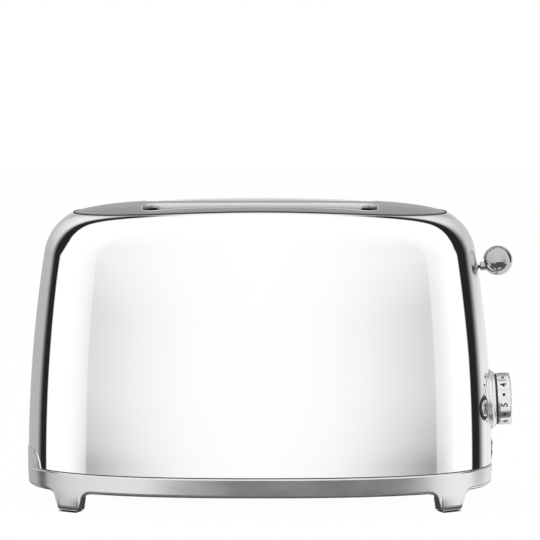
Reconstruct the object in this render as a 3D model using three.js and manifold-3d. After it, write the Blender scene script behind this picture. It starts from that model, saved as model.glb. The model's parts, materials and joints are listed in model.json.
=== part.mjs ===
// A two-slice toaster with a polished shell, in millimetres, +Z up, its front facing -Y.
// The origin lies on the table, under the middle of the space that the whole toaster takes.
import * as THREE from "three";
import { mergeVertices } from "three/addons/utils/BufferGeometryUtils.js";
import Module from "manifold-3d";

const wasm = await Module();
wasm.setup();

// General clearances, and how finely curves are cut.
const seatGap = 0.3; // between two pieces that touch
const overrun = 4; // how far a cutting tool runs past what it cuts
const outlineSteps = 56; // round the body, a multiple of four
const roundSteps = 24; // round a large turned piece
const smallSteps = 12; // round a small turned piece
const tinySteps = 8; // round a screw or its hole
const buttonSteps = 18; // round a button, its bezel and the lever's ball
const mergeShare = 1e-5; // of a body half width: corners closer than this are one

// The body seen from above is one rounded outline, drawn smaller towards the top.
const bodyHalfWidth = 155.3;
const bodyHalfDepth = 94.5;
const outlineRoundness = 2.4; // 2 is an ellipse, more is squarer

// Base band and feet.
const padThickness = 1;
const footHeight = 13; // table to the underside of the band
const bandHeight = 12.8;
const bandProud = 0.5; // how far the band stands out of the shell
const bandTopChamfer = 0.9;
const bandBottomRound = 1.8;
const bandWall = 4;
const bandTopWall = 8;
const footTurn = 39 / 360; // share of a turn from the end of the body to a foot
const footHalfTop = 16.5;
const footHalfRoot = 12.2;
const footHalfKnee = 11.3;
const footHalfToe = 9.8;
const footFilletDrop = 3.6;
const footToeRound = 2.2;
const footDepth = 13;
const bandBottom = footHeight;
const bandTop = footHeight + bandHeight;

// Shell: the side wall is a long upright arc, the shoulder a short one.
const shellSheet = 1.2;
const wallArcRadius = 917;
const shoulderStart = 142; // height above the band where the shoulder arc takes over
const shoulderRadius = 35;
const crownLift = 4; // the long sides of the shoulder rise this much at the middle
const crownStartShare = 0.45; // of the shoulder's height, where that rise begins
const shellBottom = bandTop + seatGap;

// Top plate and bread slots.
const shoulderSpan = 31.3; // seen from above, from the body's foot in to the plate, all round
const plateHalfWidth = bodyHalfWidth - shoulderSpan;
const plateHalfDepth = bodyHalfDepth - shoulderSpan;
const plateSheet = 1;
const plateRise = 6.4; // from the plate's end tips to the middle of its dome
const domePower = 6;
const plateSeatShare = 0.955; // of the plate, inner edge of the flange that carries it
const plateBendShare = 0.87; // of the plate, where its slope and the flange's change
const plateRingShares = [1, plateBendShare, 0.66];
const slotEndMargin = 46.5; // plate beyond a slot's end
const slotSideMargin = 15.2; // plate beyond a slot's outer side
const slotBridge = 24; // plate between the two slots
const slotHalfLength = plateHalfWidth - slotEndMargin;
const slotWidth = plateHalfDepth - slotSideMargin - slotBridge / 2;
const slotCorner = 9;
const lipRoll = 1.5;
const lipRise = 0.5;
const lipDepth = 12;
const slotCentreY = slotBridge / 2 + slotWidth / 2;

// Bread chamber.
const chamberClear = 8.5; // slot end to end plate
const endSheet = 1;
const endPlateX = slotHalfLength + chamberClear;
const reflectorClear = 9.5; // slot's outer side to the outside of the chamber
const endHalfWidth = slotBridge / 2 + slotWidth + reflectorClear;
const chamberTop = 176;
const coverSheet = 2;
const coverBottom = bandBottom + 1.5 * bandTopChamfer;
const coverTop = coverBottom + coverSheet;
const endBottom = coverTop + seatGap;

const finishes = {
  chrome: { color: 0xd9dbdd, roughness: 0.06, metalness: 1 },
  brushed: { color: 0xa9abad, roughness: 0.35, metalness: 1 },
  satin: { color: 0xb9bbbe, roughness: 0.4, metalness: 0.8 },
  steel: { color: 0x9fa2a5, roughness: 0.45, metalness: 1 },
  black: { color: 0x17181a, roughness: 0.5, metalness: 0 },
  rubber: { color: 0x1c1c1d, roughness: 0.8, metalness: 0 },
  mica: { color: 0xb8ab86, roughness: 0.7, metalness: 0 },
  heater: { color: 0x6d6a66, roughness: 0.5, metalness: 1 },
  copper: { color: 0xb8693a, roughness: 0.4, metalness: 1 },
  board: { color: 0x1f5b3a, roughness: 0.6, metalness: 0 },
};

// A closed three.js geometry as a solid that can be joined and cut, and back again.
function solid(geometry, matrix = new THREE.Matrix4()) {
  const corners = (geometry.index ? geometry.toNonIndexed() : geometry).getAttribute("position");
  const bare = new THREE.BufferGeometry().setAttribute("position", corners.clone());
  const merged = mergeVertices(bare.applyMatrix4(matrix), bodyHalfWidth * mergeShare);
  return new wasm.Manifold(
    new wasm.Mesh({
      numProp: 3,
      vertProperties: new Float32Array(merged.attributes.position.array),
      triVerts: new Uint32Array(merged.index.array),
    }),
  );
}

function geometryOf(body) {
  const mesh = body.getMesh();
  const geometry = new THREE.BufferGeometry();
  geometry.setAttribute("position", new THREE.BufferAttribute(mesh.vertProperties, 3));
  geometry.setIndex(new THREE.BufferAttribute(mesh.triVerts, 1));
  geometry.computeVertexNormals();
  return geometry;
}

const cut = (body, ...tools) => tools.reduce((left, tool) => left.subtract(tool), body);
const join = (body, ...others) => others.reduce((sum, other) => sum.add(other), body);

const toaster = new THREE.Group();

function piece(name, body, finish) {
  const mesh = new THREE.Mesh(geometryOf(body), new THREE.MeshStandardMaterial(finishes[finish]));
  mesh.name = name;
  toaster.add(mesh);
  return mesh;
}

// Extrusions: flat ones rise along Z, upright ones run along X, deep ones along Y.
const flatFrame = new THREE.Matrix4();
const uprightFrame = new THREE.Matrix4().makeBasis(
  new THREE.Vector3(0, 1, 0),
  new THREE.Vector3(0, 0, 1),
  new THREE.Vector3(1, 0, 0),
);
const deepFrame = new THREE.Matrix4().makeBasis(
  new THREE.Vector3(1, 0, 0),
  new THREE.Vector3(0, 0, 1),
  new THREE.Vector3(0, -1, 0),
);

function extrude(shape, depth, frame, start, curveSegments = 5) {
  const geometry = new THREE.ExtrudeGeometry(shape, { depth, bevelEnabled: false, curveSegments });
  return solid(geometry.translate(0, 0, start), frame);
}
const flat = (shape, from, to, steps) => extrude(shape, to - from, flatFrame, from, steps);
const upright = (shape, from, to, steps) => extrude(shape, to - from, uprightFrame, from, steps);
const deep = (shape, from, to, steps) => extrude(shape, to - from, deepFrame, -to, steps);

function rectangle(left, right, low, high, radius = 0) {
  const shape = new THREE.Shape();
  if (!radius) {
    shape.moveTo(left, low).lineTo(right, low).lineTo(right, high).lineTo(left, high);
    return shape;
  }
  shape.moveTo(left + radius, low).lineTo(right - radius, low);
  shape.absarc(right - radius, low + radius, radius, -Math.PI / 2, 0);
  shape.lineTo(right, high - radius);
  shape.absarc(right - radius, high - radius, radius, 0, Math.PI / 2);
  shape.lineTo(left + radius, high);
  shape.absarc(left + radius, high - radius, radius, Math.PI / 2, Math.PI);
  shape.lineTo(left, low + radius);
  shape.absarc(left + radius, low + radius, radius, Math.PI, 1.5 * Math.PI);
  return shape;
}
const block = (x0, x1, y0, y1, z0, z1) => flat(rectangle(x0, x1, y0, y1), z0, z1);

// A round bar from one point to another.
function bar(from, to, radius, sides = smallSteps) {
  const along = new THREE.Vector3().subVectors(to, from);
  const turn = new THREE.Quaternion().setFromUnitVectors(
    new THREE.Vector3(0, 1, 0),
    along.clone().normalize(),
  );
  const middle = new THREE.Vector3().addVectors(from, to).multiplyScalar(0.5);
  const place = new THREE.Matrix4().compose(middle, turn, new THREE.Vector3(1, 1, 1));
  return solid(new THREE.CylinderGeometry(radius, radius, along.length(), sides), place);
}
const at = (x, y, z) => new THREE.Vector3(x, y, z);

// Stacks rings of points, each listed anticlockwise from above, and closes both ends.
function loft(rings) {
  const count = rings[0].length;
  const corners = rings.flat().flatMap((p) => [p.x, p.y, p.z]);
  const faces = [];
  for (let level = 0; level < rings.length - 1; level += 1) {
    for (let i = 0; i < count; i += 1) {
      const a = level * count + i;
      const b = level * count + ((i + 1) % count);
      faces.push(a, b, b + count, a, b + count, a + count);
    }
  }
  [rings[0], rings[rings.length - 1]].forEach((ring, end) => {
    const middle = ring.reduce((sum, p) => sum.add(p), at(0, 0, 0)).divideScalar(count);
    const hub = corners.length / 3;
    const first = end ? (rings.length - 1) * count : 0;
    corners.push(middle.x, middle.y, middle.z);
    for (let i = 0; i < count; i += 1) {
      const a = first + i;
      const b = first + ((i + 1) % count);
      faces.push(...(end ? [hub, a, b] : [hub, b, a]));
    }
  });
  const geometry = new THREE.BufferGeometry();
  geometry.setAttribute("position", new THREE.Float32BufferAttribute(corners, 3));
  geometry.setIndex(faces);
  return geometry;
}

// A section swept along corner points and closed at both ends.
function sweep(points, halfSize, sides = 4) {
  const rings = points.map((point, i) => {
    const before = points[Math.max(i - 1, 0)];
    const after = points[Math.min(i + 1, points.length - 1)];
    const into = new THREE.Vector3().subVectors(point, before).normalize();
    const out = new THREE.Vector3().subVectors(after, point).normalize();
    return { point, along: into.add(out).normalize() };
  });
  let side = new THREE.Vector3(0, 0, 1);
  const loops = rings.map(({ point, along }) => {
    side = side.clone().addScaledVector(along, -side.dot(along)).normalize();
    const up = new THREE.Vector3().crossVectors(along, side);
    return Array.from({ length: sides }, (_, k) => {
      const angle = (2 * Math.PI * (k + 0.5)) / sides;
      return point
        .clone()
        .addScaledVector(side, halfSize * Math.cos(angle))
        .addScaledVector(up, halfSize * Math.sin(angle));
    });
  });
  return loft(loops);
}

// The body's outline at one height: a point at a share of a turn from +X.
function outlinePoint(halfWidth, halfDepth, turn) {
  const c = Math.cos(2 * Math.PI * turn);
  const s = Math.sin(2 * Math.PI * turn);
  const power = 2 / outlineRoundness;
  return at(
    halfWidth * Math.sign(c) * Math.abs(c) ** power,
    halfDepth * Math.sign(s) * Math.abs(s) ** power,
    0,
  );
}
const turns = Array.from({ length: outlineSteps }, (_, i) => i / outlineSteps);
const outlineRing = (halfWidth, halfDepth, height) =>
  turns.map((turn) => {
    const point = outlinePoint(halfWidth, halfDepth, turn);
    return point.setZ(typeof height === "function" ? height(point, turn) : height);
  });

// How far the side wall has drawn in at a height above the band, and its lean there.
const wallDrawIn = (rise) => wallArcRadius - Math.sqrt(wallArcRadius ** 2 - rise ** 2);
const wallLean = (rise) => Math.asin(rise / wallArcRadius);
const shoulderCentreIn =
  wallDrawIn(shoulderStart) + shoulderRadius * Math.cos(wallLean(shoulderStart));
const shoulderCentreZ =
  bandTop + shoulderStart - shoulderRadius * Math.sin(wallLean(shoulderStart));
const rimHalfWidth = plateHalfWidth + seatGap;
const rimHalfDepth = plateHalfDepth + seatGap;
const rimAngle = Math.acos(
  (rimHalfWidth - (bodyHalfWidth - shoulderCentreIn)) / shoulderRadius,
);
const rimZ = shoulderCentreZ + shoulderRadius * Math.sin(rimAngle);
const crestZ = rimZ + plateRise;
const crown = (x) => crownLift * Math.max(0, 1 - (x / plateHalfWidth) ** 2) ** 2;

// The crowned plate's surface, or one a given depth under it.
function platePoint(share, turn, drop = 0) {
  const edge = outlinePoint(plateHalfWidth, plateHalfDepth, turn);
  const edgeZ = rimZ + crown(edge.x);
  const z = edgeZ + (crestZ - edgeZ) * (1 - share ** domePower) - drop;
  return at(edge.x * share, edge.y * share, z);
}
const plateRing = (share, drop) => turns.map((turn) => platePoint(share, turn, drop));

// The shell's outside drawn in by an inset, as one solid from its foot to under the plate.
function bodySolid(inset, bottom = shellBottom) {
  const liftFrom = bandTop + crownStartShare * shoulderStart;
  const lifted = (z) => (point) => {
    const share = THREE.MathUtils.smoothstep(z, liftFrom, rimZ);
    return z + share * crown(point.x);
  };
  const ringAt = (drawIn, z) =>
    outlineRing(bodyHalfWidth - drawIn - inset, bodyHalfDepth - drawIn - inset, lifted(z));
  const wallShares = [0, 0.4, 0.72, 1];
  const rings = [ringAt(0, bottom)];
  wallShares.slice(bottom < bandTop ? 0 : 1).forEach((share) => {
    const rise = share * shoulderStart;
    rings.push(ringAt(wallDrawIn(rise), bandTop + rise));
  });
  const arcSteps = 5;
  const radius = shoulderRadius - inset;
  const lastAngle = Math.acos((shoulderRadius * Math.cos(rimAngle) + inset) / radius);
  for (let i = 1; i <= arcSteps; i += 1) {
    const angle = THREE.MathUtils.lerp(wallLean(shoulderStart), lastAngle, i / arcSteps);
    const drawIn = shoulderCentreIn - radius * Math.cos(angle) - inset;
    rings.push(ringAt(drawIn, shoulderCentreZ + radius * Math.sin(angle)));
  }
  const drop = plateSheet + seatGap + inset;
  rings.push(outlineRing(rimHalfWidth, rimHalfDepth, (p) => rimZ + crown(p.x) - drop));
  rings.push(plateRing(plateBendShare, drop));
  return solid(loft(rings));
}

// A layer of the body between two insets, for what lies in or on its wall.
const bodyLayer = (outerInset, innerInset) =>
  cut(bodySolid(outerInset), bodySolid(innerInset, shellBottom - overrun));

// Where the end wall stands at a height, how it leans there, and its outward frame.
const wallX = (z) => bodyHalfWidth - wallDrawIn(z - bandTop);
const wallY = (z) => bodyHalfDepth - wallDrawIn(z - bandTop);

function outwardFrame(halfWidth, halfDepth, point, lean = 0) {
  const power = outlineRoundness - 1;
  const normal = at(
    (Math.sign(point.x) * Math.abs(point.x / halfWidth) ** power) / halfWidth,
    (Math.sign(point.y) * Math.abs(point.y / halfDepth) ** power) / halfDepth,
    0,
  ).normalize();
  normal.multiplyScalar(Math.cos(lean)).setZ(Math.sin(lean));
  const across = new THREE.Vector3().crossVectors(at(0, 0, 1), normal).normalize();
  const up = new THREE.Vector3().crossVectors(normal, across);
  return new THREE.Matrix4().makeBasis(normal, across, up).setPosition(point);
}

function endWallFrame(y, z) {
  const turn = Math.asin((Math.abs(y) / wallY(z)) ** (outlineRoundness / 2)) / (2 * Math.PI);
  const point = outlinePoint(wallX(z), wallY(z), Math.sign(y) * turn);
  return outwardFrame(wallX(z), wallY(z), point.setZ(z), wallLean(z - bandTop));
}

// A turned piece: its profile lists [distance out along the axis, radius].
const latheFrame = new THREE.Matrix4().makeRotationZ(-Math.PI / 2);
function turned(profile, place = new THREE.Matrix4(), steps = roundSteps) {
  const points = profile.map(([along, radius]) => new THREE.Vector2(radius, along));
  return solid(new THREE.LatheGeometry(points, steps), place.clone().multiply(latheFrame));
}
const disc = (from, to, radius, place, steps) =>
  turned([[from, 0], [from, radius], [to, radius], [to, 0]], place, steps);

// The least gap between stretches of one wire, measured on points along it.
function leastSelfGap(points, radius, step) {
  const samples = [];
  points.slice(1).forEach((end, i) => {
    const count = Math.max(1, Math.round(points[i].distanceTo(end) / step));
    for (let k = 0; k < count; k += 1) samples.push(points[i].clone().lerp(end, k / count));
  });
  const near = Math.ceil((8 * radius) / step) + 1;
  let least = Infinity;
  samples.forEach((a, i) => {
    for (let k = i + near; k < samples.length; k += 1) {
      least = Math.min(least, a.distanceTo(samples[k]));
    }
  });
  return least - 2 * radius;
}

// Dial, buttons and lever stand on the right end wall.
const dialZ = 67.9;
const collarRadius = 19.9;
const collarRimRadius = 18.6;
const collarStep = 1.3;
const collarHeight = 3.4;
const dialRadius = 17.35;
const dialLength = 9.2;
const dialEdge = 1.5;
const dialEdgeShare = 0.3; // of the rounded edge, where its two facets meet
const washerThickness = 0.7;
const capRadius = 10.4;
const capDepth = 4.2;
const capTravel = 1.8;
const shaftRadius = 3;
const buttonReach = 33; // from the dial's axis to a button's
const buttonDrop = 2.3; // the side buttons sit this much under the dial's axis
const bezelRadius = 8;
const buttonRadius = 5.65;
const buttonProud = 0.9;
const bezelProud = 0.5;
const bezelDepth = 7;
const buttonTravel = 1.5;
const ballRadius = 9.9;
const ballClear = 3.9; // from the foot of the end wall out to the ball's centre
const ballZ = 161.4;
const leverTravel = 54;
const armThickness = 2;
const armHalfWidth = 1.9;
const armUnderBall = 2.7; // the arm enters the ball under its centre
const armSocket = 5;
const slotClear = 0.8;
const ballX = bodyHalfWidth + ballClear;
const leverLean = Math.atan((wallX(ballZ - leverTravel) - wallX(ballZ)) / leverTravel);
const travelDown = leverTravel * Math.cos(leverLean);
const travelOut = leverTravel * Math.sin(leverLean);
const armZ = (x) => ballZ - armUnderBall + (x - (ballX - ballRadius)) * Math.tan(leverLean);

// Crumb tray, drawn out through an arch in the left end of the shell.
const handleHalfWidth = 43;
const handleHeight = 12.1;
const handleCorner = 13;
const handleSheet = 2;
const trayNarrower = 3.5; // than the handle, on each side
const trayHalfWidth = handleHalfWidth - trayNarrower;
const trayFloor = bandTop + 4 * seatGap;
const trayWall = 6.5;
const traySheet = 0.8;
const trayShort = 2; // how far the tray stops short of the lever-side end plate
const handleTop = shellBottom + handleHeight;

function archShape(halfWidth, low, high, radius) {
  const shape = new THREE.Shape().moveTo(-halfWidth, low).lineTo(halfWidth, low);
  shape.lineTo(halfWidth, high - radius);
  shape.absarc(halfWidth - radius, high - radius, radius, 0, Math.PI / 2);
  shape.lineTo(-halfWidth + radius, high);
  shape.absarc(-halfWidth + radius, high - radius, radius, Math.PI / 2, Math.PI);
  return shape;
}

const dialFrame = endWallFrame(0, dialZ);
const buttonFrames = {
  reheat: endWallFrame(-buttonReach, dialZ - buttonDrop),
  defrost: endWallFrame(buttonReach, dialZ - buttonDrop),
  bagel: endWallFrame(0, dialZ - buttonReach),
};

// Outer shell: one drawn sheet, open below, with a seat for the plate, and its cut-outs.
function makeShell() {
  const wall = cut(bodySolid(0), bodySolid(shellSheet, shellBottom - overrun));
  const opening = outlineRing(plateHalfWidth * plateSeatShare, plateHalfDepth * plateSeatShare, 0);
  const well = flat(new THREE.Shape(opening), rimZ - shoulderRadius, crestZ + overrun);
  const outside = bodyHalfWidth + overrun;
  const insideX = bodyHalfWidth - shoulderRadius;
  const armSlot = upright(
    rectangle(
      -armHalfWidth - slotClear,
      armHalfWidth + slotClear,
      armZ(ballX - ballRadius) - travelDown - armThickness - slotClear,
      armZ(ballX - ballRadius) + armThickness + slotClear,
      armHalfWidth,
    ),
    insideX,
    outside,
    3,
  );
  const trayArch = upright(
    archShape(
      handleHalfWidth + seatGap,
      shellBottom - overrun,
      handleTop + seatGap,
      handleCorner + seatGap,
    ),
    -outside,
    -insideX,
    4,
  );
  const holes = Object.values(buttonFrames).map((frame) =>
    disc(-bezelDepth, bezelDepth, bezelRadius + seatGap, frame, smallSteps),
  );
  const shaftHole = disc(-bezelDepth, bezelDepth, shaftRadius + 2 * seatGap, dialFrame, smallSteps);
  return cut(wall, well, armSlot, trayArch, shaftHole, ...holes);
}
piece("outer_shell", makeShell(), "chrome");

// Top plate: a crowned sheet with two bread slots, each with a rolled lip turned down.
const slotShape = (grow) =>
  rectangle(
    -slotHalfLength - grow,
    slotHalfLength + grow,
    slotCentreY - slotWidth / 2 - grow,
    slotCentreY + slotWidth / 2 + grow,
    slotCorner + grow,
  );
const mirrorY = (body) => body.mirror([0, 1, 0]);
function slotPrism(grow, from, to) {
  const one = flat(slotShape(grow), from, to, 3);
  return join(one, mirrorY(one));
}
function makeTopPlate() {
  const under = [...plateRingShares].reverse().map((share) => plateRing(share, plateSheet));
  const over = plateRingShares.map((share) => plateRing(share, 0));
  const sheet = solid(loft([...under, ...over]));
  const lipBottom = crestZ - lipDepth;
  const lipRings = plateRingShares.map((share) => plateRing(share, -lipRise));
  const dome = solid(loft([outlineRing(plateHalfWidth, plateHalfDepth, lipBottom), ...lipRings]));
  const low = lipBottom - overrun;
  const high = crestZ + overrun;
  const lips = cut(slotPrism(lipRoll, lipBottom, high), slotPrism(0, low, high));
  return join(cut(sheet, slotPrism(0, low, high)), dome.intersect(lips));
}
piece("top_plate", makeTopPlate(), "brushed");

// Base frame: a band round the foot of the shell, an inner ledge, and four feet in one casting.
const bandHalfWidth = bodyHalfWidth + bandProud;
const bandHalfDepth = bodyHalfDepth + bandProud;
const ledgeWidth = 16;
const ledgeSheet = 2;
const screwTurn = 0.17;
const screwInset = 10;
const screwRadius = 1.6;
const screwHeadRadius = 3.6;
const screwHeadHeight = 1.7;
const screwLength = 4;
const bandRing = (inset, z) => outlineRing(bandHalfWidth - inset, bandHalfDepth - inset, z);
const bandPrism = (inset, from, to) => solid(loft([bandRing(inset, from), bandRing(inset, to)]));
const ledgeBottom = coverTop + seatGap;

// A point on the band's outline, an arc length away from a turn, and the way inwards there.
function walkBand(turn, arc) {
  const stepShare = 1 / 4000;
  const sign = Math.sign(arc) || 1;
  let here = outlinePoint(bandHalfWidth, bandHalfDepth, turn);
  let walked = 0;
  let now = turn;
  while (walked < Math.abs(arc)) {
    now += sign * stepShare;
    const next = outlinePoint(bandHalfWidth, bandHalfDepth, now);
    walked += next.distanceTo(here);
    here = next;
  }
  const ahead = outlinePoint(bandHalfWidth, bandHalfDepth, now + stepShare);
  const behind = outlinePoint(bandHalfWidth, bandHalfDepth, now - stepShare);
  const along = ahead.sub(behind).normalize();
  return { now, here, inwards: at(-along.y, along.x, 0) };
}

const footTurns = {
  rear_right: footTurn,
  rear_left: 0.5 - footTurn,
  front_left: 0.5 + footTurn,
  front_right: 1 - footTurn,
};
const footInnerShare = 0.6; // of a foot's length outside, left at its inner face

// Half a foot's outline: [distance from its middle, height of its underside, depth inwards].
const footBottom = padThickness + seatGap;
const footSteps = [
  [0, footBottom, footDepth],
  [footHalfToe - footToeRound, footBottom, footDepth],
  [footHalfToe, footBottom + footToeRound, footDepth],
  [footHalfKnee, bandBottom - footFilletDrop, footDepth],
  [footHalfRoot, bandBottom - footFilletDrop / 4, footDepth - footFilletDrop],
  [footHalfTop, bandBottom, bandWall],
];

// Every station round the base: the even ones, and closer ones through each foot.
function baseStations() {
  const stations = [];
  Object.values(footTurns).forEach((turn) => {
    footSteps.forEach(([arc, low, depth]) => {
      (arc ? [-1, 1] : [1]).forEach((side) => {
        const { now } = walkBand(turn, side * arc);
        const inner = walkBand(turn, side * arc * (arc < footHalfTop ? footInnerShare : 1));
        stations.push({ turn: now, low, depth, inner });
      });
    });
  });
  const clearOfFeet = (turn) =>
    Object.values(footTurns).every((foot) => {
      const away = outlinePoint(bandHalfWidth, bandHalfDepth, foot);
      const spot = outlinePoint(bandHalfWidth, bandHalfDepth, turn);
      return away.distanceTo(spot) > footHalfTop + footToeRound;
    });
  turns.filter(clearOfFeet).forEach((turn) => {
    stations.push({ turn, low: bandBottom, depth: bandWall, inner: walkBand(turn, 0) });
  });
  return stations.sort((a, b) => a.turn - b.turn);
}

// The casting's section at one station, from the top chamfer inwards, down and out again.
function baseSection({ turn, low, depth, inner }) {
  const spot = (inset, z) =>
    outlinePoint(bandHalfWidth - inset, bandHalfDepth - inset, turn).setZ(z);
  const deep = (z) => inner.here.clone().addScaledVector(inner.inwards, depth).setZ(z);
  const round = low < bandBottom ? bandBottomRound / 4 : bandBottomRound;
  const footTop = coverBottom - seatGap;
  const underBand = Math.min(low + bandBottomRound / 4, footTop - bandBottomRound / 4);
  return [
    spot(0, bandTop - bandTopChamfer),
    spot(bandTopChamfer, bandTop),
    spot(bandTopWall, bandTop),
    spot(bandTopWall, ledgeBottom + ledgeSheet),
    spot(ledgeWidth, ledgeBottom + ledgeSheet),
    spot(ledgeWidth, ledgeBottom),
    spot(bandWall, ledgeBottom),
    spot(bandWall, footTop),
    deep(depth > bandWall ? footTop : underBand + bandBottomRound / 4),
    deep(depth > bandWall ? low : underBand),
    spot(round, low),
    spot(0, low + round),
  ];
}

function baseCasting() {
  const sections = baseStations().map(baseSection);
  const size = sections[0].length;
  const corners = sections.flat().flatMap((p) => [p.x, p.y, p.z]);
  const faces = [];
  sections.forEach((_, i) => {
    const next = (i + 1) % sections.length;
    for (let k = 0; k < size; k += 1) {
      const over = (k + 1) % size;
      const a = i * size + k;
      const b = next * size + k;
      const c = next * size + over;
      const d = i * size + over;
      faces.push(a, b, c, a, c, d);
    }
  });
  const geometry = new THREE.BufferGeometry();
  geometry.setAttribute("position", new THREE.Float32BufferAttribute(corners, 3));
  geometry.setIndex(faces);
  return solid(geometry);
}
const screwTurns = [screwTurn, 0.5 - screwTurn, 0.5 + screwTurn, 1 - screwTurn];
const screwSpot = (turn) =>
  outlinePoint(bandHalfWidth - screwInset, bandHalfDepth - screwInset, turn);
const inletTurn = 0.19;
const inletRadius = 3.9;
const inletZ = coverTop + 4 * seatGap + inletRadius;
const inletBore = 2.6;
const inletFlange = 4.7;
const inletFlangeSheet = 1.2;
const inletLength = 12;
const inletFrame = outwardFrame(
  bandHalfWidth,
  bandHalfDepth,
  outlinePoint(bandHalfWidth, bandHalfDepth, inletTurn).setZ(inletZ),
);
const inletDisc = (from, to, radius) => disc(from, to, radius, inletFrame, smallSteps);

function makeBaseFrame() {
  const screwHoles = screwTurns.map((turn) => {
    const spot = screwSpot(turn);
    return bar(
      at(spot.x, spot.y, ledgeBottom - overrun / 2),
      at(spot.x, spot.y, ledgeBottom + overrun),
      screwRadius + seatGap,
      tinySteps,
    );
  });
  const inletHole = inletDisc(-2 * inletLength, inletLength, inletRadius + seatGap);
  return cut(baseCasting(), inletHole, ...screwHoles);
}
piece("base_frame", makeBaseFrame(), "satin");

Object.entries(footTurns).forEach(([corner, turn]) => {
  const half = footHalfToe - footToeRound;
  const rim = [-half, 0, half].map((arc) => walkBand(turn, arc));
  const inset = (spot, depth) => spot.here.clone().addScaledVector(spot.inwards, depth);
  const outer = rim.map((spot) => inset(spot, bandTopChamfer));
  const inner = rim.map((_, i) =>
    inset(walkBand(turn, (i - 1) * half * footInnerShare), footDepth - bandTopChamfer),
  );
  const shape = new THREE.Shape([...outer, ...inner.reverse()]);
  piece(`foot_pad_${corner}`, flat(shape, 0, padThickness), "rubber");
});

// Bottom cover, its vents and screws, and the bush where the lead enters.
const ventHalfWidth = 1.6;
const ventHalfLength = 14;
const ventPitch = 12;
const ventCount = 6;
const ventRowY = 22;
function makeCover() {
  const plate = bandPrism(bandWall + seatGap, coverBottom, coverTop);
  const vents = [];
  [-ventRowY, ventRowY].forEach((y) => {
    for (let i = 0; i < ventCount; i += 1) {
      const x = (i - (ventCount - 1) / 2) * ventPitch;
      vents.push(
        block(x - ventHalfWidth, x + ventHalfWidth, y - ventHalfLength, y + ventHalfLength,
          coverBottom - overrun, coverTop + overrun),
      );
    }
  });
  const holes = screwTurns.map((turn) => {
    const spot = screwSpot(turn);
    return bar(
      at(spot.x, spot.y, coverBottom - overrun),
      at(spot.x, spot.y, coverTop + overrun / 2),
      screwRadius + seatGap,
      tinySteps,
    );
  });
  return cut(plate, ...vents, ...holes);
}
piece("bottom_cover", makeCover(), "black");

screwTurns.forEach((turn, i) => {
  const spot = screwSpot(turn);
  const seat = coverBottom - seatGap;
  const upTo = (height) => at(spot.x, spot.y, seat + height);
  const head = bar(upTo(-screwHeadHeight), upTo(0), screwHeadRadius);
  const shank = bar(upTo(-screwHeadHeight / 2), upTo(screwLength), screwRadius, tinySteps);
  piece(`cover_screw_${i + 1}`, join(head, shank), "steel");
});

function makeInletBush() {
  const tube = inletDisc(-inletLength, inletFlangeSheet, inletRadius);
  const flange = inletDisc(seatGap, inletFlangeSheet, inletFlange);
  return cut(join(tube, flange), inletDisc(-2 * inletLength, inletLength, inletBore));
}
piece("lead_inlet_bush", makeInletBush(), "black");

// Inner frame: two end plates on the bottom cover, pierced for what passes through them.
const guideInset = 1.7; // a resting bread guide stands this far inside its slot
const guideTravel = 6;
const guideBarRadius = 1.2;
const guideWireRadius = 0.9;
const guideWireCount = 6;
const guideWireInset = 7.5; // from a slot's end to the first upright wire
const guideWirePitch = (2 * (slotHalfLength - guideWireInset)) / (guideWireCount - 1);
const guideTopZ = 166;
const guideLowZ = 76;
const guideEndReach = 1.5;
const guideOver = 4; // how far the upright wires run past their bars
const restTopZ = 118;
const restHeight = 5;
const restHalfSheet = 1.5;
const flangeSheet = 1.5;
const flangeHalfWidth = 33;
const flangeReach = 17;
const rodRadius = 2.5;
const rodY = 15;
const rodMidZ = 130;
const rodClear = 10; // from the end plate to the rods' centres at mid height
const innerSlotEdge = slotBridge / 2;
const outerSlotEdge = slotBridge / 2 + slotWidth;
const guideRests = [
  { name: "bread_guide_front_outer", y: -(outerSlotEdge - guideInset), towards: 1 },
  { name: "bread_guide_front_inner", y: -(innerSlotEdge + guideInset), towards: -1 },
  { name: "bread_guide_rear_inner", y: innerSlotEdge + guideInset, towards: 1 },
  { name: "bread_guide_rear_outer", y: outerSlotEdge - guideInset, towards: -1 },
];
const outerFace = endPlateX + endSheet;
const rodX = (z) => outerFace + rodClear + (rodMidZ - z) * Math.tan(leverLean);
const rodAt = (y, z) => at(rodX(z), y, z);

function makeEndPlate(side) {
  const near = side > 0 ? endPlateX : -outerFace;
  let plate = upright(
    rectangle(-endHalfWidth, endHalfWidth, endBottom, chamberTop),
    near,
    near + endSheet,
  );
  if (side > 0) {
    const flange = block(near, outerFace + flangeReach, -flangeHalfWidth, flangeHalfWidth,
      chamberTop - flangeSheet, chamberTop);
    const rodHoles = [-rodY, rodY].map((y) =>
      bar(rodAt(y, chamberTop - overrun), rodAt(y, chamberTop + overrun), rodRadius + seatGap),
    );
    plate = cut(join(plate, flange), ...rodHoles);
  }
  const past = near + endSheet + 1.5 * seatGap;
  const through = (y0, y1, z0, z1) => block(near - overrun, past, y0, y1, z0, z1);
  const half = guideBarRadius + seatGap;
  const guideSlots = guideRests.flatMap(({ y, towards }) =>
    [guideTopZ, guideLowZ].map((z) => {
      const far = y + towards * guideTravel;
      return through(Math.min(y, far) - half, Math.max(y, far) + half, z - half, z + half);
    }),
  );
  const slotHalf = restHalfSheet + slotClear;
  const restSlots = [-slotCentreY, slotCentreY].map((y) =>
    through(y - slotHalf, y + slotHalf, restTopZ - restHeight - travelDown - slotClear,
      restTopZ + slotClear),
  );
  const trayHalf = trayHalfWidth + seatGap;
  const trayGap = through(-trayHalf, trayHalf, trayFloor - seatGap, trayFloor + trayWall + seatGap);
  return cut(plate, ...guideSlots, ...(side > 0 ? restSlots : [trayGap]));
}
piece("end_plate_lever_side", makeEndPlate(1), "steel");
piece("end_plate_tray_side", makeEndPlate(-1), "steel");

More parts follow.
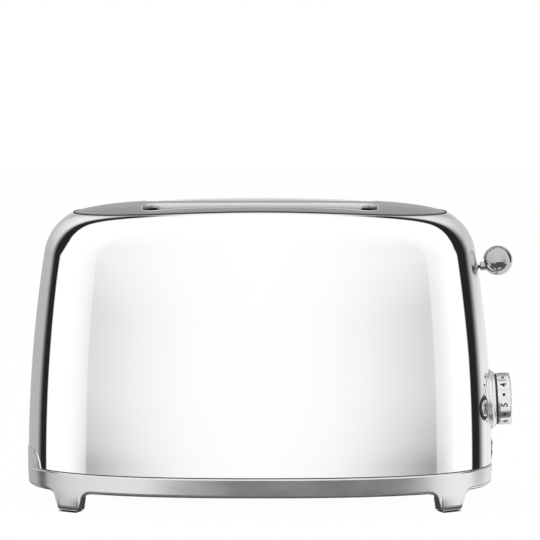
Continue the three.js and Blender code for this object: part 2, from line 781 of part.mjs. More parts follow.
// Heat reflectors line the front and back, and turn in below to lead crumbs to the tray.
const reflectorSheet = 0.8;
const reflectorY = endHalfWidth - 0.5 * reflectorSheet;
const reflectorBend = 66;
const reflectorLow = 46;
const reflectorIn = trayHalfWidth + 2 * reflectorSheet;
function makeReflector(side) {
  const outline = [
    [reflectorY, chamberTop],
    [reflectorY - reflectorSheet, chamberTop],
    [reflectorY - reflectorSheet, reflectorBend + reflectorSheet / 2],
    [reflectorIn - reflectorSheet, reflectorLow + reflectorSheet / 2],
    [reflectorIn, reflectorLow],
    [reflectorY, reflectorBend],
  ];
  const shape = new THREE.Shape(outline.map(([y, z]) => new THREE.Vector2(y, z)));
  const half = endPlateX - seatGap;
  const rear = upright(shape, -half, half);
  return side > 0 ? rear : mirrorY(rear);
}
piece("heat_reflector_front", makeReflector(-1), "brushed");
piece("heat_reflector_rear", makeReflector(1), "brushed");

// Four mica cards, each with one heater wire wound round it.
const cardSheet = 0.8;
const cardWaist = 12; // a card's waist ends this far short of the end plates
const cardHalfWidth = endPlateX - cardWaist;
const cardLow = 66;
const cardHigh = 172;
const cardTab = 6;
const cardClear = 5; // from the bread guide at rest to the card's middle
const windRadius = 0.4;
const windTurns = 9;
const turnShare = 0.05; // of the winding's pitch, climbed where it turns over a card's edge
const cards = [
  { name: "front_outer", y: -(outerSlotEdge - guideInset + cardClear) },
  { name: "front_inner", y: -(innerSlotEdge + guideInset - cardClear) },
  { name: "rear_inner", y: innerSlotEdge + guideInset - cardClear },
  { name: "rear_outer", y: outerSlotEdge - guideInset + cardClear },
];
function makeCard(y) {
  const half = endPlateX - seatGap;
  const shape = rectangle(-half, half, cardLow, cardHigh);
  const sheet = deep(shape, y - cardSheet / 2, y + cardSheet / 2);
  const bites = [-1, 1].map((side) =>
    block(Math.min(side * cardHalfWidth, side * (half + overrun)),
      Math.max(side * cardHalfWidth, side * (half + overrun)),
      y - overrun, y + overrun, cardLow + cardTab, cardHigh - cardTab),
  );
  return cut(sheet, ...bites);
}
function windingPoints(y) {
  const out = cardHalfWidth + seatGap + windRadius;
  const off = cardSheet / 2 + seatGap + windRadius;
  const low = cardLow + 2 * cardTab;
  const pitch = (cardHigh - 2 * cardTab - low) / windTurns;
  const points = [];
  for (let i = 0; i < windTurns; i += 1) {
    const z = low + i * pitch;
    const rise = (share) => z + share * pitch;
    points.push(at(-out, y - off, z), at(out, y - off, rise(0.5 - turnShare)));
    points.push(at(out, y + off, rise(0.5)), at(-out, y + off, rise(1 - turnShare)));
  }
  return points;
}
cards.forEach(({ name, y }) => {
  piece(`heater_card_${name}`, makeCard(y), "mica");
  piece(`heater_wire_${name}`, solid(sweep(windingPoints(y), windRadius)), "heater");
});
const windingGap = leastSelfGap(windingPoints(0), windRadius, 2 * windRadius);
console.log(`least gap in a heater winding: ${windingGap.toFixed(2)} mm`);

// Bread guides: four wire cages that close on the bread as the carriage goes down.
guideRests.forEach(({ name, y }) => {
  const reach = outerFace + guideEndReach;
  const bars = [guideTopZ, guideLowZ].map((z) =>
    bar(at(-reach, y, z), at(reach, y, z), guideBarRadius, 6),
  );
  const wires = Array.from({ length: guideWireCount }, (_, i) => {
    const x = (i - (guideWireCount - 1) / 2) * guideWirePitch;
    return bar(at(x, y, guideLowZ - guideOver), at(x, y, guideTopZ + guideOver), guideWireRadius, 4);
  });
  piece(name, join(bars[0], bars[1], ...wires), "steel");
});

// Guide rods, parallel to the leaning end wall, stand on the bottom cover.
[["front", -rodY], ["rear", rodY]].forEach(([side, y]) => {
  const rod = bar(rodAt(y, coverTop + 2 * seatGap), rodAt(y, chamberTop + flangeSheet), rodRadius);
  piece(`guide_rod_${side}`, rod, "chrome");
});

// Carriage: a plate with two sleeves on the rods, a lug for the spring and one for the armature.
const carriageSheet = 1.5;
const carriageGap = 3;
const restBarHalfWidth = 6;
const carriageHalfWidth = slotCentreY + restBarHalfWidth;
const tongueHalfWidth = 31;
const crossbarHeight = 10;
const sleeveRadius = 4.2;
const sleeveLow = 114;
const sleeveHigh = 140;
const webHalf = 2.2;
const springY = 26;
const springRadius = 3;
const springWire = 0.45;
const springCurls = 7;
const springSteps = 6;
const springLugHalf = 4.5;
const armatureHalfWidth = 6;
const armatureSheet = 2;
const armatureReach = 16;
const carriageX = outerFace + carriageGap;
const carriageLow = restTopZ - restHeight - armatureSheet;
const carriageHigh = armZ(carriageX) + armThickness;
const springX = carriageX + springLugHalf + carriageSheet;
function makeCarriage() {
  const face = carriageX + carriageSheet;
  const crossbar = block(carriageX, face, -carriageHalfWidth, carriageHalfWidth,
    carriageLow, carriageLow + crossbarHeight);
  const tongue = block(carriageX, face, -tongueHalfWidth, tongueHalfWidth,
    carriageLow, carriageHigh);
  const springLug = block(carriageX, springX + springLugHalf, springY - springLugHalf,
    springY + springLugHalf, carriageHigh - carriageSheet, carriageHigh);
  const armatureLug = block(carriageX, face + armatureReach, -armatureHalfWidth,
    armatureHalfWidth, carriageLow, carriageLow + carriageSheet);
  const sleeves = [-rodY, rodY].flatMap((y) => [
    bar(rodAt(y, sleeveLow), rodAt(y, sleeveHigh), sleeveRadius),
    block(carriageX, rodX(rodMidZ), y - webHalf, y + webHalf, sleeveLow + webHalf,
      sleeveHigh - webHalf),
  ]);
  const bores = [-rodY, rodY].map((y) =>
    bar(rodAt(y, sleeveLow - overrun), rodAt(y, sleeveHigh + overrun), rodRadius + seatGap),
  );
  return cut(join(crossbar, tongue, springLug, armatureLug, ...sleeves), ...bores);
}
piece("carriage", makeCarriage(), "steel");

const restBarCount = 6;
const restBarHalf = 1.2;
const restBarSheet = 2;
const restEndShort = 9;
[["front", -slotCentreY], ["rear", slotCentreY]].forEach(([side, y]) => {
  const spine = block(-endPlateX + restEndShort, carriageX - seatGap, y - restHalfSheet,
    y + restHalfSheet, restTopZ - restHeight, restTopZ);
  const first = -endPlateX + restEndShort + restBarHalf;
  const last = endPlateX - travelOut - 2 * restBarHalf - seatGap;
  const rungs = Array.from({ length: restBarCount }, (_, i) => {
    const x = first + ((last - first) * i) / (restBarCount - 1);
    return block(x - restBarHalf, x + restBarHalf, y - restBarHalfWidth, y + restBarHalfWidth,
      restTopZ - restBarSheet, restTopZ);
  });
  piece(`bread_rest_${side}`, join(spine, ...rungs), "steel");
});

// Lever arm and ball: the arm lies square to the carriage's slanting travel.
function armShape(x0, x1, halfThickness) {
  const corners = [[x0, -1], [x1, -1], [x1, 1], [x0, 1]];
  return new THREE.Shape(
    corners.map(([x, side]) => new THREE.Vector2(x, armZ(x) + side * halfThickness)),
  );
}
const armEnd = ballX - ballRadius + armSocket;
piece("lever_arm",
  deep(armShape(carriageX + carriageSheet + seatGap, armEnd, armThickness / 2),
    -armHalfWidth, armHalfWidth), "steel");
function makeBall() {
  const ball = solid(
    new THREE.SphereGeometry(ballRadius, buttonSteps, smallSteps),
    new THREE.Matrix4().makeRotationX(Math.PI / 2).setPosition(ballX, 0, ballZ),
  );
  const socket = deep(
    armShape(ballX - 2 * ballRadius, armEnd + seatGap, armThickness / 2 + seatGap),
    -armHalfWidth - seatGap,
    armHalfWidth + seatGap,
  );
  return cut(ball, socket);
}
piece("lever_ball", makeBall(), "chrome");

// Holding magnet, its armature, the mains contacts and the return spring.
const magnetHalfWidth = 9;
const magnetLeg = 5;
const magnetLegHeight = 15;
const magnetYoke = 4;
const magnetHalfDepth = 5;
const coilWall = 1.6;
const armatureX = carriageX + carriageSheet + armatureReach - magnetHalfDepth;
const armatureTop = carriageLow - seatGap;
piece("armature",
  block(armatureX - magnetHalfDepth, armatureX + magnetHalfDepth, -armatureHalfWidth - carriageGap,
    armatureHalfWidth + carriageGap, armatureTop - armatureSheet, armatureTop), "steel");
const magnetX = armatureX + travelOut;
const magnetTop = armatureTop - armatureSheet - travelDown - seatGap;
const yokeBottom = magnetTop - magnetLegHeight - magnetYoke;
function makeMagnetCore() {
  const bit = (y0, y1, z0, z1) =>
    block(magnetX - magnetHalfDepth, magnetX + magnetHalfDepth, y0, y1, z0, z1);
  return join(
    bit(-magnetHalfWidth, -magnetHalfWidth + magnetLeg, yokeBottom, magnetTop),
    bit(magnetHalfWidth - magnetLeg, magnetHalfWidth, yokeBottom, magnetTop),
    bit(-magnetHalfWidth, magnetHalfWidth, yokeBottom, yokeBottom + magnetYoke),
    bit(-magnetLeg, magnetLeg, coverTop + seatGap, yokeBottom + magnetYoke / 2),
  );
}
piece("magnet_core", makeMagnetCore(), "steel");
function makeCoil() {
  const y0 = magnetHalfWidth - magnetLeg;
  const z0 = yokeBottom + magnetYoke + seatGap;
  const z1 = magnetTop - coilWall;
  const grow = seatGap + coilWall;
  const outer = block(magnetX - magnetHalfDepth - grow, magnetX + magnetHalfDepth + grow,
    y0 - grow, magnetHalfWidth + grow, z0, z1);
  const core = block(magnetX - magnetHalfDepth - seatGap, magnetX + magnetHalfDepth + seatGap,
    y0 - seatGap, magnetHalfWidth + seatGap, z0 - overrun, z1 + overrun);
  return cut(outer, core);
}
piece("magnet_coil", makeCoil(), "copper");

const contactDepth = 11;
const contactHalfWidth = 7;
const contactY = -27;
const contactLow = 30;
const contactHeight = 18;
piece("mains_contact_block",
  block(outerFace + seatGap, outerFace + seatGap + contactDepth, contactY - contactHalfWidth,
    contactY + contactHalfWidth, contactLow, contactLow + contactHeight), "black");

function springPoints() {
  const low = carriageHigh + seatGap + springWire;
  const high = chamberTop - flangeSheet - seatGap - springWire;
  const steps = springCurls * springSteps;
  return Array.from({ length: steps + 1 }, (_, i) => {
    const angle = (2 * Math.PI * i) / springSteps;
    return at(
      springX + springRadius * Math.cos(angle),
      springY + springRadius * Math.sin(angle),
      low + ((high - low) * i) / steps,
    );
  });
}
piece("return_spring", solid(sweep(springPoints(), springWire, 4)), "steel");
const springGap = leastSelfGap(springPoints(), springWire, springWire);
console.log(`least gap in the return spring: ${springGap.toFixed(2)} mm`);

// Dial: a stepped collar on the shell, a black washer, the number ring and a push cap.
const grownBody = bodySolid(-seatGap, shellBottom - overrun);
function onShell(body) {
  return cut(body, grownBody);
}
function makeCollar() {
  const profile = [
    [-collarHeight, 0],
    [-collarHeight, collarRadius],
    [collarStep, collarRadius],
    [2 * collarStep, collarRimRadius],
    [collarHeight, collarRimRadius],
    [collarHeight, 0],
  ];
  const bore = disc(-2 * collarHeight, 2 * collarHeight, shaftRadius + seatGap, dialFrame, smallSteps);
  return cut(onShell(turned(profile, dialFrame)), bore);
}
piece("dial_collar", makeCollar(), "chrome");

const washerFrom = collarHeight + seatGap;
const washerTo = washerFrom + washerThickness;
const washerBore = disc(-overrun, 2 * washerTo, shaftRadius + seatGap, dialFrame, smallSteps);
const washer = disc(washerFrom, washerTo, dialRadius - seatGap, dialFrame);
piece("dial_washer", cut(washer, washerBore), "black");

const dialFrom = washerTo + seatGap;
const dialTo = dialFrom + dialLength;
const capFrom = dialTo - capDepth;
const dialFloor = capFrom - capTravel - seatGap;
const dialRecess = disc(dialFloor, dialTo + overrun, capRadius + seatGap, dialFrame);
const hubBore = disc(0, dialTo + overrun, shaftRadius + seatGap, dialFrame, smallSteps);
const dialBody = turned(
  [
    [dialFrom, 0],
    [dialFrom, dialRadius],
    [dialTo - dialEdge, dialRadius],
    [dialTo - dialEdgeShare * dialEdge, dialRadius - dialEdgeShare * dialEdge],
    [dialTo, dialRadius - dialEdge],
    [dialTo, 0],
  ],
  dialFrame,
);
piece("dial", cut(dialBody, dialRecess, hubBore), "chrome");
const potLength = 13;
const potRadius = 8;
const boardInset = 31;
const boardSheet = 1.6;
const boardHalfWidth = 40;
const boardTop = 92;
const boardX = bodyHalfWidth - boardInset;
const shaftFrom = -(boardInset - boardSheet) + potLength + 6 * seatGap;
piece("dial_shaft",
  disc(shaftFrom + seatGap, dialFloor - seatGap, shaftRadius, dialFrame, smallSteps), "steel");
piece("cancel_cap",
  turned(
    [
      [capFrom, 0],
      [capFrom, capRadius],
      [dialTo - dialEdge, capRadius],
      [dialTo, capRadius - dialEdge],
      [dialTo + dialEdgeShare * dialEdge, 0],
    ],
    dialFrame,
  ), "chrome");
piece("timer_control",
  disc(shaftFrom - potLength, shaftFrom, potRadius, dialFrame, smallSteps), "black");
piece("control_board",
  upright(rectangle(-boardHalfWidth, boardHalfWidth, coverTop + seatGap, boardTop), boardX,
    boardX + boardSheet), "board");

// Three push buttons, each in a black bezel let into the shell.
Object.entries(buttonFrames).forEach(([name, frame]) => {
  const bezel = disc(-bezelDepth, bezelProud, bezelRadius, frame, buttonSteps);
  const bore = disc(-2 * bezelDepth, bezelDepth, buttonRadius + seatGap, frame, buttonSteps);
  piece(`${name}_bezel`, cut(bezel, bore), "black");
  const cap = turned(
    [
      [-bezelDepth - buttonTravel, 0],
      [-bezelDepth - buttonTravel, buttonRadius],
      [buttonProud - bezelProud, buttonRadius],
      [buttonProud, buttonRadius - bezelProud],
      [buttonProud, 0],
    ],
    frame,
    buttonSteps,
  );
  piece(`${name}_button`, cap, "chrome");
});

// Crumb tray: a shallow pan, and the arched handle that fills the opening in the shell.
const handle = bodyLayer(-bandProud, handleSheet).intersect(
  upright(
    archShape(handleHalfWidth, shellBottom - overrun, handleTop, handleCorner),
    -bandHalfWidth - overrun,
    -bodyHalfWidth + shoulderRadius,
    4,
  ),
);
piece("crumb_tray_handle", handle, "chrome");
function makeTray() {
  const pan = (grow, z0, z1, inset) =>
    block(-bandHalfWidth - overrun, endPlateX - trayShort - seatGap - grow, -trayHalfWidth + grow,
      trayHalfWidth - grow, z0, z1).intersect(bodySolid(inset));
  const front = handleSheet + seatGap;
  const outer = pan(0, trayFloor, trayFloor + trayWall, front);
  const inner = pan(traySheet, trayFloor + traySheet, trayFloor + trayWall + overrun, front + traySheet);
  return cut(outer, inner);
}
piece("crumb_tray", makeTray(), "brushed");

// The origin stands under the middle of the whole toaster, from band to ball.
toaster.position.x = -(ballX + ballRadius - bandHalfWidth) / 2;

export default toaster;
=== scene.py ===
import json
import math

import bmesh
import bpy
import numpy as np
from mathutils import Matrix, Vector
from mathutils.bvhtree import BVHTree
from mathutils.interpolate import poly_3d_calc


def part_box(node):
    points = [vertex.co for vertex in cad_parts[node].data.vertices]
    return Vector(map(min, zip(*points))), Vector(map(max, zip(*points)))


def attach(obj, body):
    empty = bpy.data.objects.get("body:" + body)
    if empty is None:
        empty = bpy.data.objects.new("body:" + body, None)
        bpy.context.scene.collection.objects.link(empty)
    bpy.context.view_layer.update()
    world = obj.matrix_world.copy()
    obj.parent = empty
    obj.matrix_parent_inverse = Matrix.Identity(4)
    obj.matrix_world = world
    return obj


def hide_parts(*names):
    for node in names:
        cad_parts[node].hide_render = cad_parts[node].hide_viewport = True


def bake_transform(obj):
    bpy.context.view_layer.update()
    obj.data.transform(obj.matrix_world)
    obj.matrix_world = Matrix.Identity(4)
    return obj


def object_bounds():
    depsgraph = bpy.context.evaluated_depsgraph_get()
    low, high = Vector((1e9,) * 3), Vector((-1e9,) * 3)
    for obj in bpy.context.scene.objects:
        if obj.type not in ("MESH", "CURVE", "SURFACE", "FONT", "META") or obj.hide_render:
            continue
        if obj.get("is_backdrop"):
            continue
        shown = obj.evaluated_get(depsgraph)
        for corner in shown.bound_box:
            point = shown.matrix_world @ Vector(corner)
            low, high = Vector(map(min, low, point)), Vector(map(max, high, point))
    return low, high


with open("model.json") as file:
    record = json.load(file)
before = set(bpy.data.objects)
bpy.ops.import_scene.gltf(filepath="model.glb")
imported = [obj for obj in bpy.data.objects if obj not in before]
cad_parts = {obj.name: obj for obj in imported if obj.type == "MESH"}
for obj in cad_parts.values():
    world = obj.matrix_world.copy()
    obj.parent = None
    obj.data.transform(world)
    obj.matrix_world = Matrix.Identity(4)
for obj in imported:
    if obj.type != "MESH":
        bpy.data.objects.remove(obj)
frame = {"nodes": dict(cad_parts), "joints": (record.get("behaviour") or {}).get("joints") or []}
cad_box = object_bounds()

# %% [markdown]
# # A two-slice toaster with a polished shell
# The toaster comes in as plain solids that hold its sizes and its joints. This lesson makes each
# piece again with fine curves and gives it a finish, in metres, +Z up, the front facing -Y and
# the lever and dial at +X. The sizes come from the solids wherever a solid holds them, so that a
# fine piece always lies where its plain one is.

MM = 0.001
base_low, base_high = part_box("base_frame")
shell_low, shell_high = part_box("outer_shell")
BODY_X = (base_low.x + base_high.x) / 2


def linked(name, data):
    """A new object in the scene."""
    thing = bpy.data.objects.new(name, data)
    bpy.context.scene.collection.objects.link(thing)
    return thing


print(f"{len(frame['nodes'])} solids; the body's middle is at x = {BODY_X / MM:.2f} mm")

# %% [markdown]
# ## The camera
# A long lens from almost three metres away keeps the sides of the toaster almost parallel, as
# product pictures do. It stands a little above the toaster, so a thin strip of the top shows.

# %% Set the camera up
CAMERA_DISTANCE = 2.8
CAMERA_HEIGHT = 0.3744
AIM_HEIGHT = 0.1549
SENSOR_WIDTH, FOCAL_LENGTH = 36, 279.4
camera = linked("camera", bpy.data.cameras.new("camera"))
camera.data.sensor_width = SENSOR_WIDTH
camera.data.lens = FOCAL_LENGTH
camera.location = (0, -CAMERA_DISTANCE, CAMERA_HEIGHT)
camera_tilt = math.atan((CAMERA_HEIGHT - AIM_HEIGHT) / CAMERA_DISTANCE)
camera.rotation_euler = (math.pi / 2 - camera_tilt, 0, 0)
bpy.context.scene.camera = camera
bpy.context.scene.view_settings.view_transform = "Standard"
print(f"the camera looks down by {math.degrees(camera_tilt):.2f} degrees")

# %% [markdown]
# ## The studio
# Polished metal shows only what stands around it, so the studio is most of its finish. The world
# is a white tent: white at the sides, a soft grey fall-off at the front, a dark gap in a ring just
# behind the toaster, and a grey back. It is worked out from the direction alone. Diffuse rays get
# one plain value, so that paint and plastic keep the colours that are written for them. The floor
# shows from above only, and two small cards are seen by polished metal alone.


# %% Helpers that place shader nodes
def put(tree, kind, inputs=None, **settings):
    """A new node; an input that is a socket is linked, and any other is set as a value."""
    node = tree.nodes.new(kind)
    for name, value in settings.items():
        setattr(node, name, value)
    for name, value in (inputs or {}).items():
        if isinstance(value, bpy.types.NodeSocket):
            tree.links.new(value, node.inputs[name])
        else:
            node.inputs[name].default_value = value
    return node


def math_node(tree, operation, *values):
    return put(tree, "ShaderNodeMath", dict(enumerate(values)), operation=operation).outputs[0]


def product(tree, first, second):
    return math_node(tree, "MULTIPLY", first, second)


def rest_of(tree, share):
    return math_node(tree, "SUBTRACT", 1.0, share)


def weighted(tree, first, first_weight, second, second_weight):
    parts = (product(tree, first, first_weight), product(tree, second, second_weight))
    return math_node(tree, "ADD", *parts)


def mixed(tree, factor, first, second):
    inputs = {"Factor": factor, "A": first, "B": second}
    return put(tree, "ShaderNodeMix", inputs, data_type="FLOAT").outputs[0]


def mixed_shader(tree, factor, first, second):
    return put(tree, "ShaderNodeMixShader", {0: factor, 1: first, 2: second}).outputs[0]


def ramp(tree, factor, stops):
    """Greys or colours between [place, value] stops."""
    node = put(tree, "ShaderNodeValToRGB", {0: factor})
    elements = node.color_ramp.elements
    while len(elements) < len(stops):
        elements.new(0.5)
    for element, (place, value) in zip(elements, stops):
        element.position = place
        colour = value if isinstance(value, (tuple, list)) else (value,) * 3
        element.color = (*colour, 1)
    return node.outputs[0]


def span(tree, value, low, high, to_low=0.0, to_high=1.0, kind="LINEAR"):
    """A value carried over from one range to another."""
    inputs = {"Value": value, "From Min": low, "From Max": high,
              "To Min": to_low, "To Max": to_high}
    return put(tree, "ShaderNodeMapRange", inputs, interpolation_type=kind).outputs[0]


print("the shader helpers are ready")

# %% The tent that polished metal sees
MIDDLE_BLUR = 0.02
world = bpy.data.worlds.new("studio")
bpy.context.scene.world = world
world.use_nodes = True
tent = world.node_tree
tent.nodes.clear()
generated = put(tent, "ShaderNodeTexCoord").outputs["Generated"]
toward = put(tent, "ShaderNodeSeparateXYZ", {0: generated}).outputs
side = math_node(tent, "ABSOLUTE", toward["X"])
front = product(tent, toward["Y"], -1.0)
height = toward["Z"]


def half_turns(operation, *values):
    """An angle as a share of half a turn."""
    return math_node(tent, "DIVIDE", math_node(tent, operation, *values), math.pi)


def smooth(value, low, high, to_low=0.0, to_high=1.0):
    return span(tent, value, low, high, to_low, to_high, "SMOOTHSTEP")


around = half_turns("ARCTAN2", side, front)
signed = half_turns("ARCTAN2", toward["X"], front)
from_front = half_turns("ARCCOSINE", front)
right = span(tent, toward["X"], -MIDDLE_BLUR, MIDDLE_BLUR)
print("the tent is worked out from the angle round, the angle from the front and the height")

# %% White front with a soft grey fall-off towards its edges
front_level = ramp(
    tent,
    span(tent, height, -0.2, 1.0),
    [(0.035, 1.0), (0.05, 0.36), (0.074, 0.36), (0.084, 0.425), (0.1, 0.54), (0.13, 0.61),
     (0.167, 0.68), (0.27, 0.68), (0.305, 0.77), (0.342, 0.85), (0.58, 0.862), (0.9, 1.0)],
)
left_share = ramp(
    tent,
    around,
    [(0.0, 0.03), (0.08, 0.1), (0.14, 0.26), (0.19, 0.43), (0.25, 0.65), (0.3, 0.81),
     (0.335, 0.87), (0.345, 0.87), (0.348, 0.52), (0.38, 0.26), (0.42, 0.07), (0.45, 0.0)],
)
right_share = ramp(
    tent,
    around,
    [(0.0, 0.03), (0.08, 0.13), (0.14, 0.33), (0.19, 0.54), (0.25, 0.76), (0.3, 0.92),
     (0.335, 1.0), (0.357, 1.0), (0.361, 0.58), (0.385, 0.52), (0.405, 0.38), (0.43, 0.2),
     (0.455, 0.03), (0.47, 0.0)],
)
grey_share = mixed(tent, right, left_share, right_share)
front_white = rest_of(tent, product(tent, rest_of(tent, front_level), grey_share))
print("the front falls off to grey at its edges")

# %% The dark ring behind the toaster: where it starts and ends, shifted with the height
HALF_TURN = 180
RING_START, RING_END = 109.5 / HALF_TURN, 128 / HALF_TURN
EDGE = 1.2 / HALF_TURN
MOST_SHIFT = 12


def shifted(stops):
    """Degrees of shift for each height, from [height, degrees] stops, as a share of half a turn."""
    middled = [(place, 0.5 + degrees / (2 * MOST_SHIFT)) for place, degrees in stops]
    share = math_node(tent, "SUBTRACT", ramp(tent, height, middled), 0.5)
    return product(tent, share, 2 * MOST_SHIFT / HALF_TURN)


HIGH_SHIFTS = [(0.62, -1), (0.74, -7), (0.86, -9), (0.93, -3), (1.0, -1)]
left_start = shifted([(0.08, 0), (0.22, 4), (0.34, 5), (0.46, 4), *HIGH_SHIFTS])
right_start = shifted([(0.0, 3), (0.12, 6), (0.3, 7), (0.42, 5), (0.52, 3), *HIGH_SHIFTS])
from_start = math_node(tent, "ADD", from_front, mixed(tent, right, left_start, right_start))
ring_in = smooth(from_start, RING_START - EDGE, RING_START + EDGE)
from_end = math_node(tent, "ADD", from_front, shifted([(0.84, 0), (0.93, 6), (1.0, 9)]))
high_up = smooth(height, 0.4, 0.7)
fade_from = mixed(tent, high_up, RING_END - 9 / HALF_TURN, RING_END - 5 / HALF_TURN)
low_fade_to = mixed(tent, right, RING_END + 4 / HALF_TURN, RING_END + 9 / HALF_TURN)
fade_to = mixed(tent, high_up, low_fade_to, RING_END + 1 / HALF_TURN)
back_in = smooth(from_end, fade_from, fade_to)
print("the dark ring runs from", RING_START * HALF_TURN, "to", RING_END * HALF_TURN, "degrees")

# %% The grey back, with a darker beam in its middle
BEAM_GREY = 0.42
back_left = smooth(height, -0.1, 0.75, 0.45, 0.88)
back_right = ramp(tent, span(tent, height, -0.15, 1.0),
                  [(0.0, 0.85), (0.09, 0.78), (0.16, 0.58), (0.4, 0.56), (0.78, 0.88)])
back_sides = mixed(tent, smooth(toward["X"], -0.35, 0.35), back_left, back_right)
beam = product(tent, smooth(height, 0.16, 0.3), smooth(side, 0.36, 0.2))
back_grey = mixed(tent, beam, back_sides, BEAM_GREY)
print("the beam's grey:", BEAM_GREY)

# %% The low part, darker to the right, the table before the toaster, and the whole tent
RING_GREY, TABLE_GREY = 0.018, 0.14
low_level = ramp(
    tent,
    span(tent, signed, -1.0, 1.0),
    [(0.0, 1.0), (0.16, 1.0), (0.19, 0.33), (0.236, 0.5), (0.278, 0.76), (0.314, 0.9),
     (0.342, 0.97), (0.36, 1.0), (0.42, 1.0), (0.455, 0.42), (0.485, 0.1), (0.5, 0.06),
     (0.59, 0.06), (0.62, 0.16), (0.65, 0.45), (0.68, 0.9), (0.7, 1.0)],
)
low_in = smooth(height, -0.135, -0.17)
low_right = product(tent, right, smooth(height, -0.145, -0.19))
table_in = product(tent, smooth(height, -0.28, -0.38), smooth(around, 0.5, 0.38))
overhead_gap = rest_of(tent, smooth(height, 0.55, 0.95))
hides = math_node(tent, "MAXIMUM", smooth(side, 0.1, 0.24), overhead_gap)
ring_seen = product(tent, product(tent, ring_in, hides), rest_of(tent, low_right))
with_ring = mixed(tent, ring_seen, front_white, RING_GREY)
with_back = mixed(tent, back_in, with_ring, back_grey)
low_share = product(tent, low_in, rest_of(tent, ring_in))
with_low = mixed(tent, low_share, with_back, product(tent, with_back, low_level))
with_table = mixed(tent, table_in, with_low, TABLE_GREY)
levels = {"Red": with_table, "Green": with_table, "Blue": with_table}
tent_colour = put(tent, "ShaderNodeCombineColor", levels).outputs[0]
print("the tent has", len(tent.nodes), "nodes")

# %% Which light each kind of ray finds
PLAIN_LIGHT, TENT_LIGHT, BACKDROP = 0.72, 1.06, 1.0
PURE_WHITE = (1, 1, 1, 1)


def light(colour, strength):
    inputs = {"Color": colour, "Strength": strength}
    return put(tent, "ShaderNodeBackground", inputs).outputs[0]


rays = put(tent, "ShaderNodeLightPath").outputs
shiny = math_node(tent, "MAXIMUM", rays["Is Glossy Ray"], rays["Is Transmission Ray"])
plain, mirrored = light(PURE_WHITE, PLAIN_LIGHT), light(tent_colour, TENT_LIGHT)
found = mixed_shader(tent, shiny, plain, mirrored)
sky = mixed_shader(tent, rays["Is Camera Ray"], found, light(PURE_WHITE, BACKDROP))
put(tent, "ShaderNodeOutputWorld", {0: sky})
print("plain light on paint and plastic:", PLAIN_LIGHT)

# %% Two soft lamps, for shape and for the shadow
LAMP_AIM = Vector((0, 0, 0.09))


def soft_lamp(name, place, size, watts):
    lamp = linked(name, bpy.data.lights.new(name, "AREA"))
    lamp.data.shape = "RECTANGLE"
    lamp.data.size, lamp.data.size_y = size
    lamp.data.energy = watts
    lamp.location = place
    lamp.rotation_euler = (LAMP_AIM - Vector(place)).to_track_quat("-Z", "Y").to_euler()
    lamp.visible_glossy = False


soft_lamp("overhead lamp", (-0.25, -0.2, 1.5), (1.4, 1.2), 9)
soft_lamp("front lamp", (0.7, -1.5, 0.9), (1.0, 1.0), 7)
print("2 lamps")


# %% The floor: white to the camera, with the shadow kept in it, and open from below
def blank_material(name):
    material = bpy.data.materials.new(name)
    material.use_nodes = True
    material.node_tree.nodes.clear()
    return material, material.node_tree


def card(name, corners):
    piece = linked(name, bpy.data.meshes.new(name))
    piece.data.from_pydata(corners, [], [tuple(range(len(corners)))])
    return piece


FLOOR_HALF, FLOOR_Z = 4, -0.1 * MM
FLOOR_WHITE_SHARE = 0.98
squares = ((-1, -1), (1, -1), (1, 1), (-1, 1))
floor = card("floor", [(x * FLOOR_HALF, y * FLOOR_HALF, FLOOR_Z) for x, y in squares])
floor_paint, tree = blank_material("pale floor")
matt = put(tree, "ShaderNodeBsdfDiffuse", {"Color": (0.9, 0.9, 0.9, 1)}).outputs[0]
glow = put(tree, "ShaderNodeEmission", {"Color": PURE_WHITE, "Strength": 1.0}).outputs[0]
to_camera = put(tree, "ShaderNodeLightPath").outputs["Is Camera Ray"]
upper_side = mixed_shader(tree, product(tree, to_camera, FLOOR_WHITE_SHARE), matt, glow)
from_below = put(tree, "ShaderNodeNewGeometry").outputs["Backfacing"]
unseen = put(tree, "ShaderNodeBsdfTransparent").outputs[0]
floor_sides = mixed_shader(tree, from_below, upper_side, unseen)
put(tree, "ShaderNodeOutputMaterial", {0: floor_sides})
floor.data.materials.append(floor_paint)
floor.visible_glossy = False
floor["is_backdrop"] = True
print("the floor is white to the camera, with the toaster's shadow kept in it")


# %% Flags: small cards that only polished metal sees
def flag(name, corners, brightness):
    piece = card(name, corners)
    paint, tree = blank_material(name)
    inputs = {"Color": (brightness, brightness, brightness, 1), "Strength": 1.0}
    shine = put(tree, "ShaderNodeEmission", inputs)
    put(tree, "ShaderNodeOutputMaterial", {0: shine.outputs[0]})
    piece.data.materials.append(paint)
    piece.visible_camera = piece.visible_diffuse = piece.visible_shadow = False
    piece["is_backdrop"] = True


SHADE_HALF_WIDTH, SHADE_HALF_DEPTH, SHADE_Z = 160 * MM, 99 * MM, 0.4 * MM
SHADE_POWER = 0.83
SHADE_GREY, FLAG_GREY = 0.05, 1.0
FLAG_Y, FLAG_LOW, FLAG_HIGH = -60 * MM, 4 * MM, 80 * MM


def squared(value):
    return math.copysign(abs(value) ** SHADE_POWER, value)


shade = [(squared(math.cos(angle)) * SHADE_HALF_WIDTH + BODY_X,
          squared(math.sin(angle)) * SHADE_HALF_DEPTH, SHADE_Z)
         for angle in np.linspace(0, 2 * math.pi, 97)[:-1]]
flag("shade under the base", shade, SHADE_GREY)
ball_low, ball_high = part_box("lever_ball")
BALL = (ball_low + ball_high) / 2
near, far = BALL.x - 2 * MM, BALL.x + 48 * MM
spots = ((near, FLAG_LOW), (far, FLAG_LOW), (far, FLAG_HIGH), (near, FLAG_HIGH))
flag("white flag before the dial", [(x, FLAG_Y, z) for x, z in spots], FLAG_GREY)
print("2 flags")

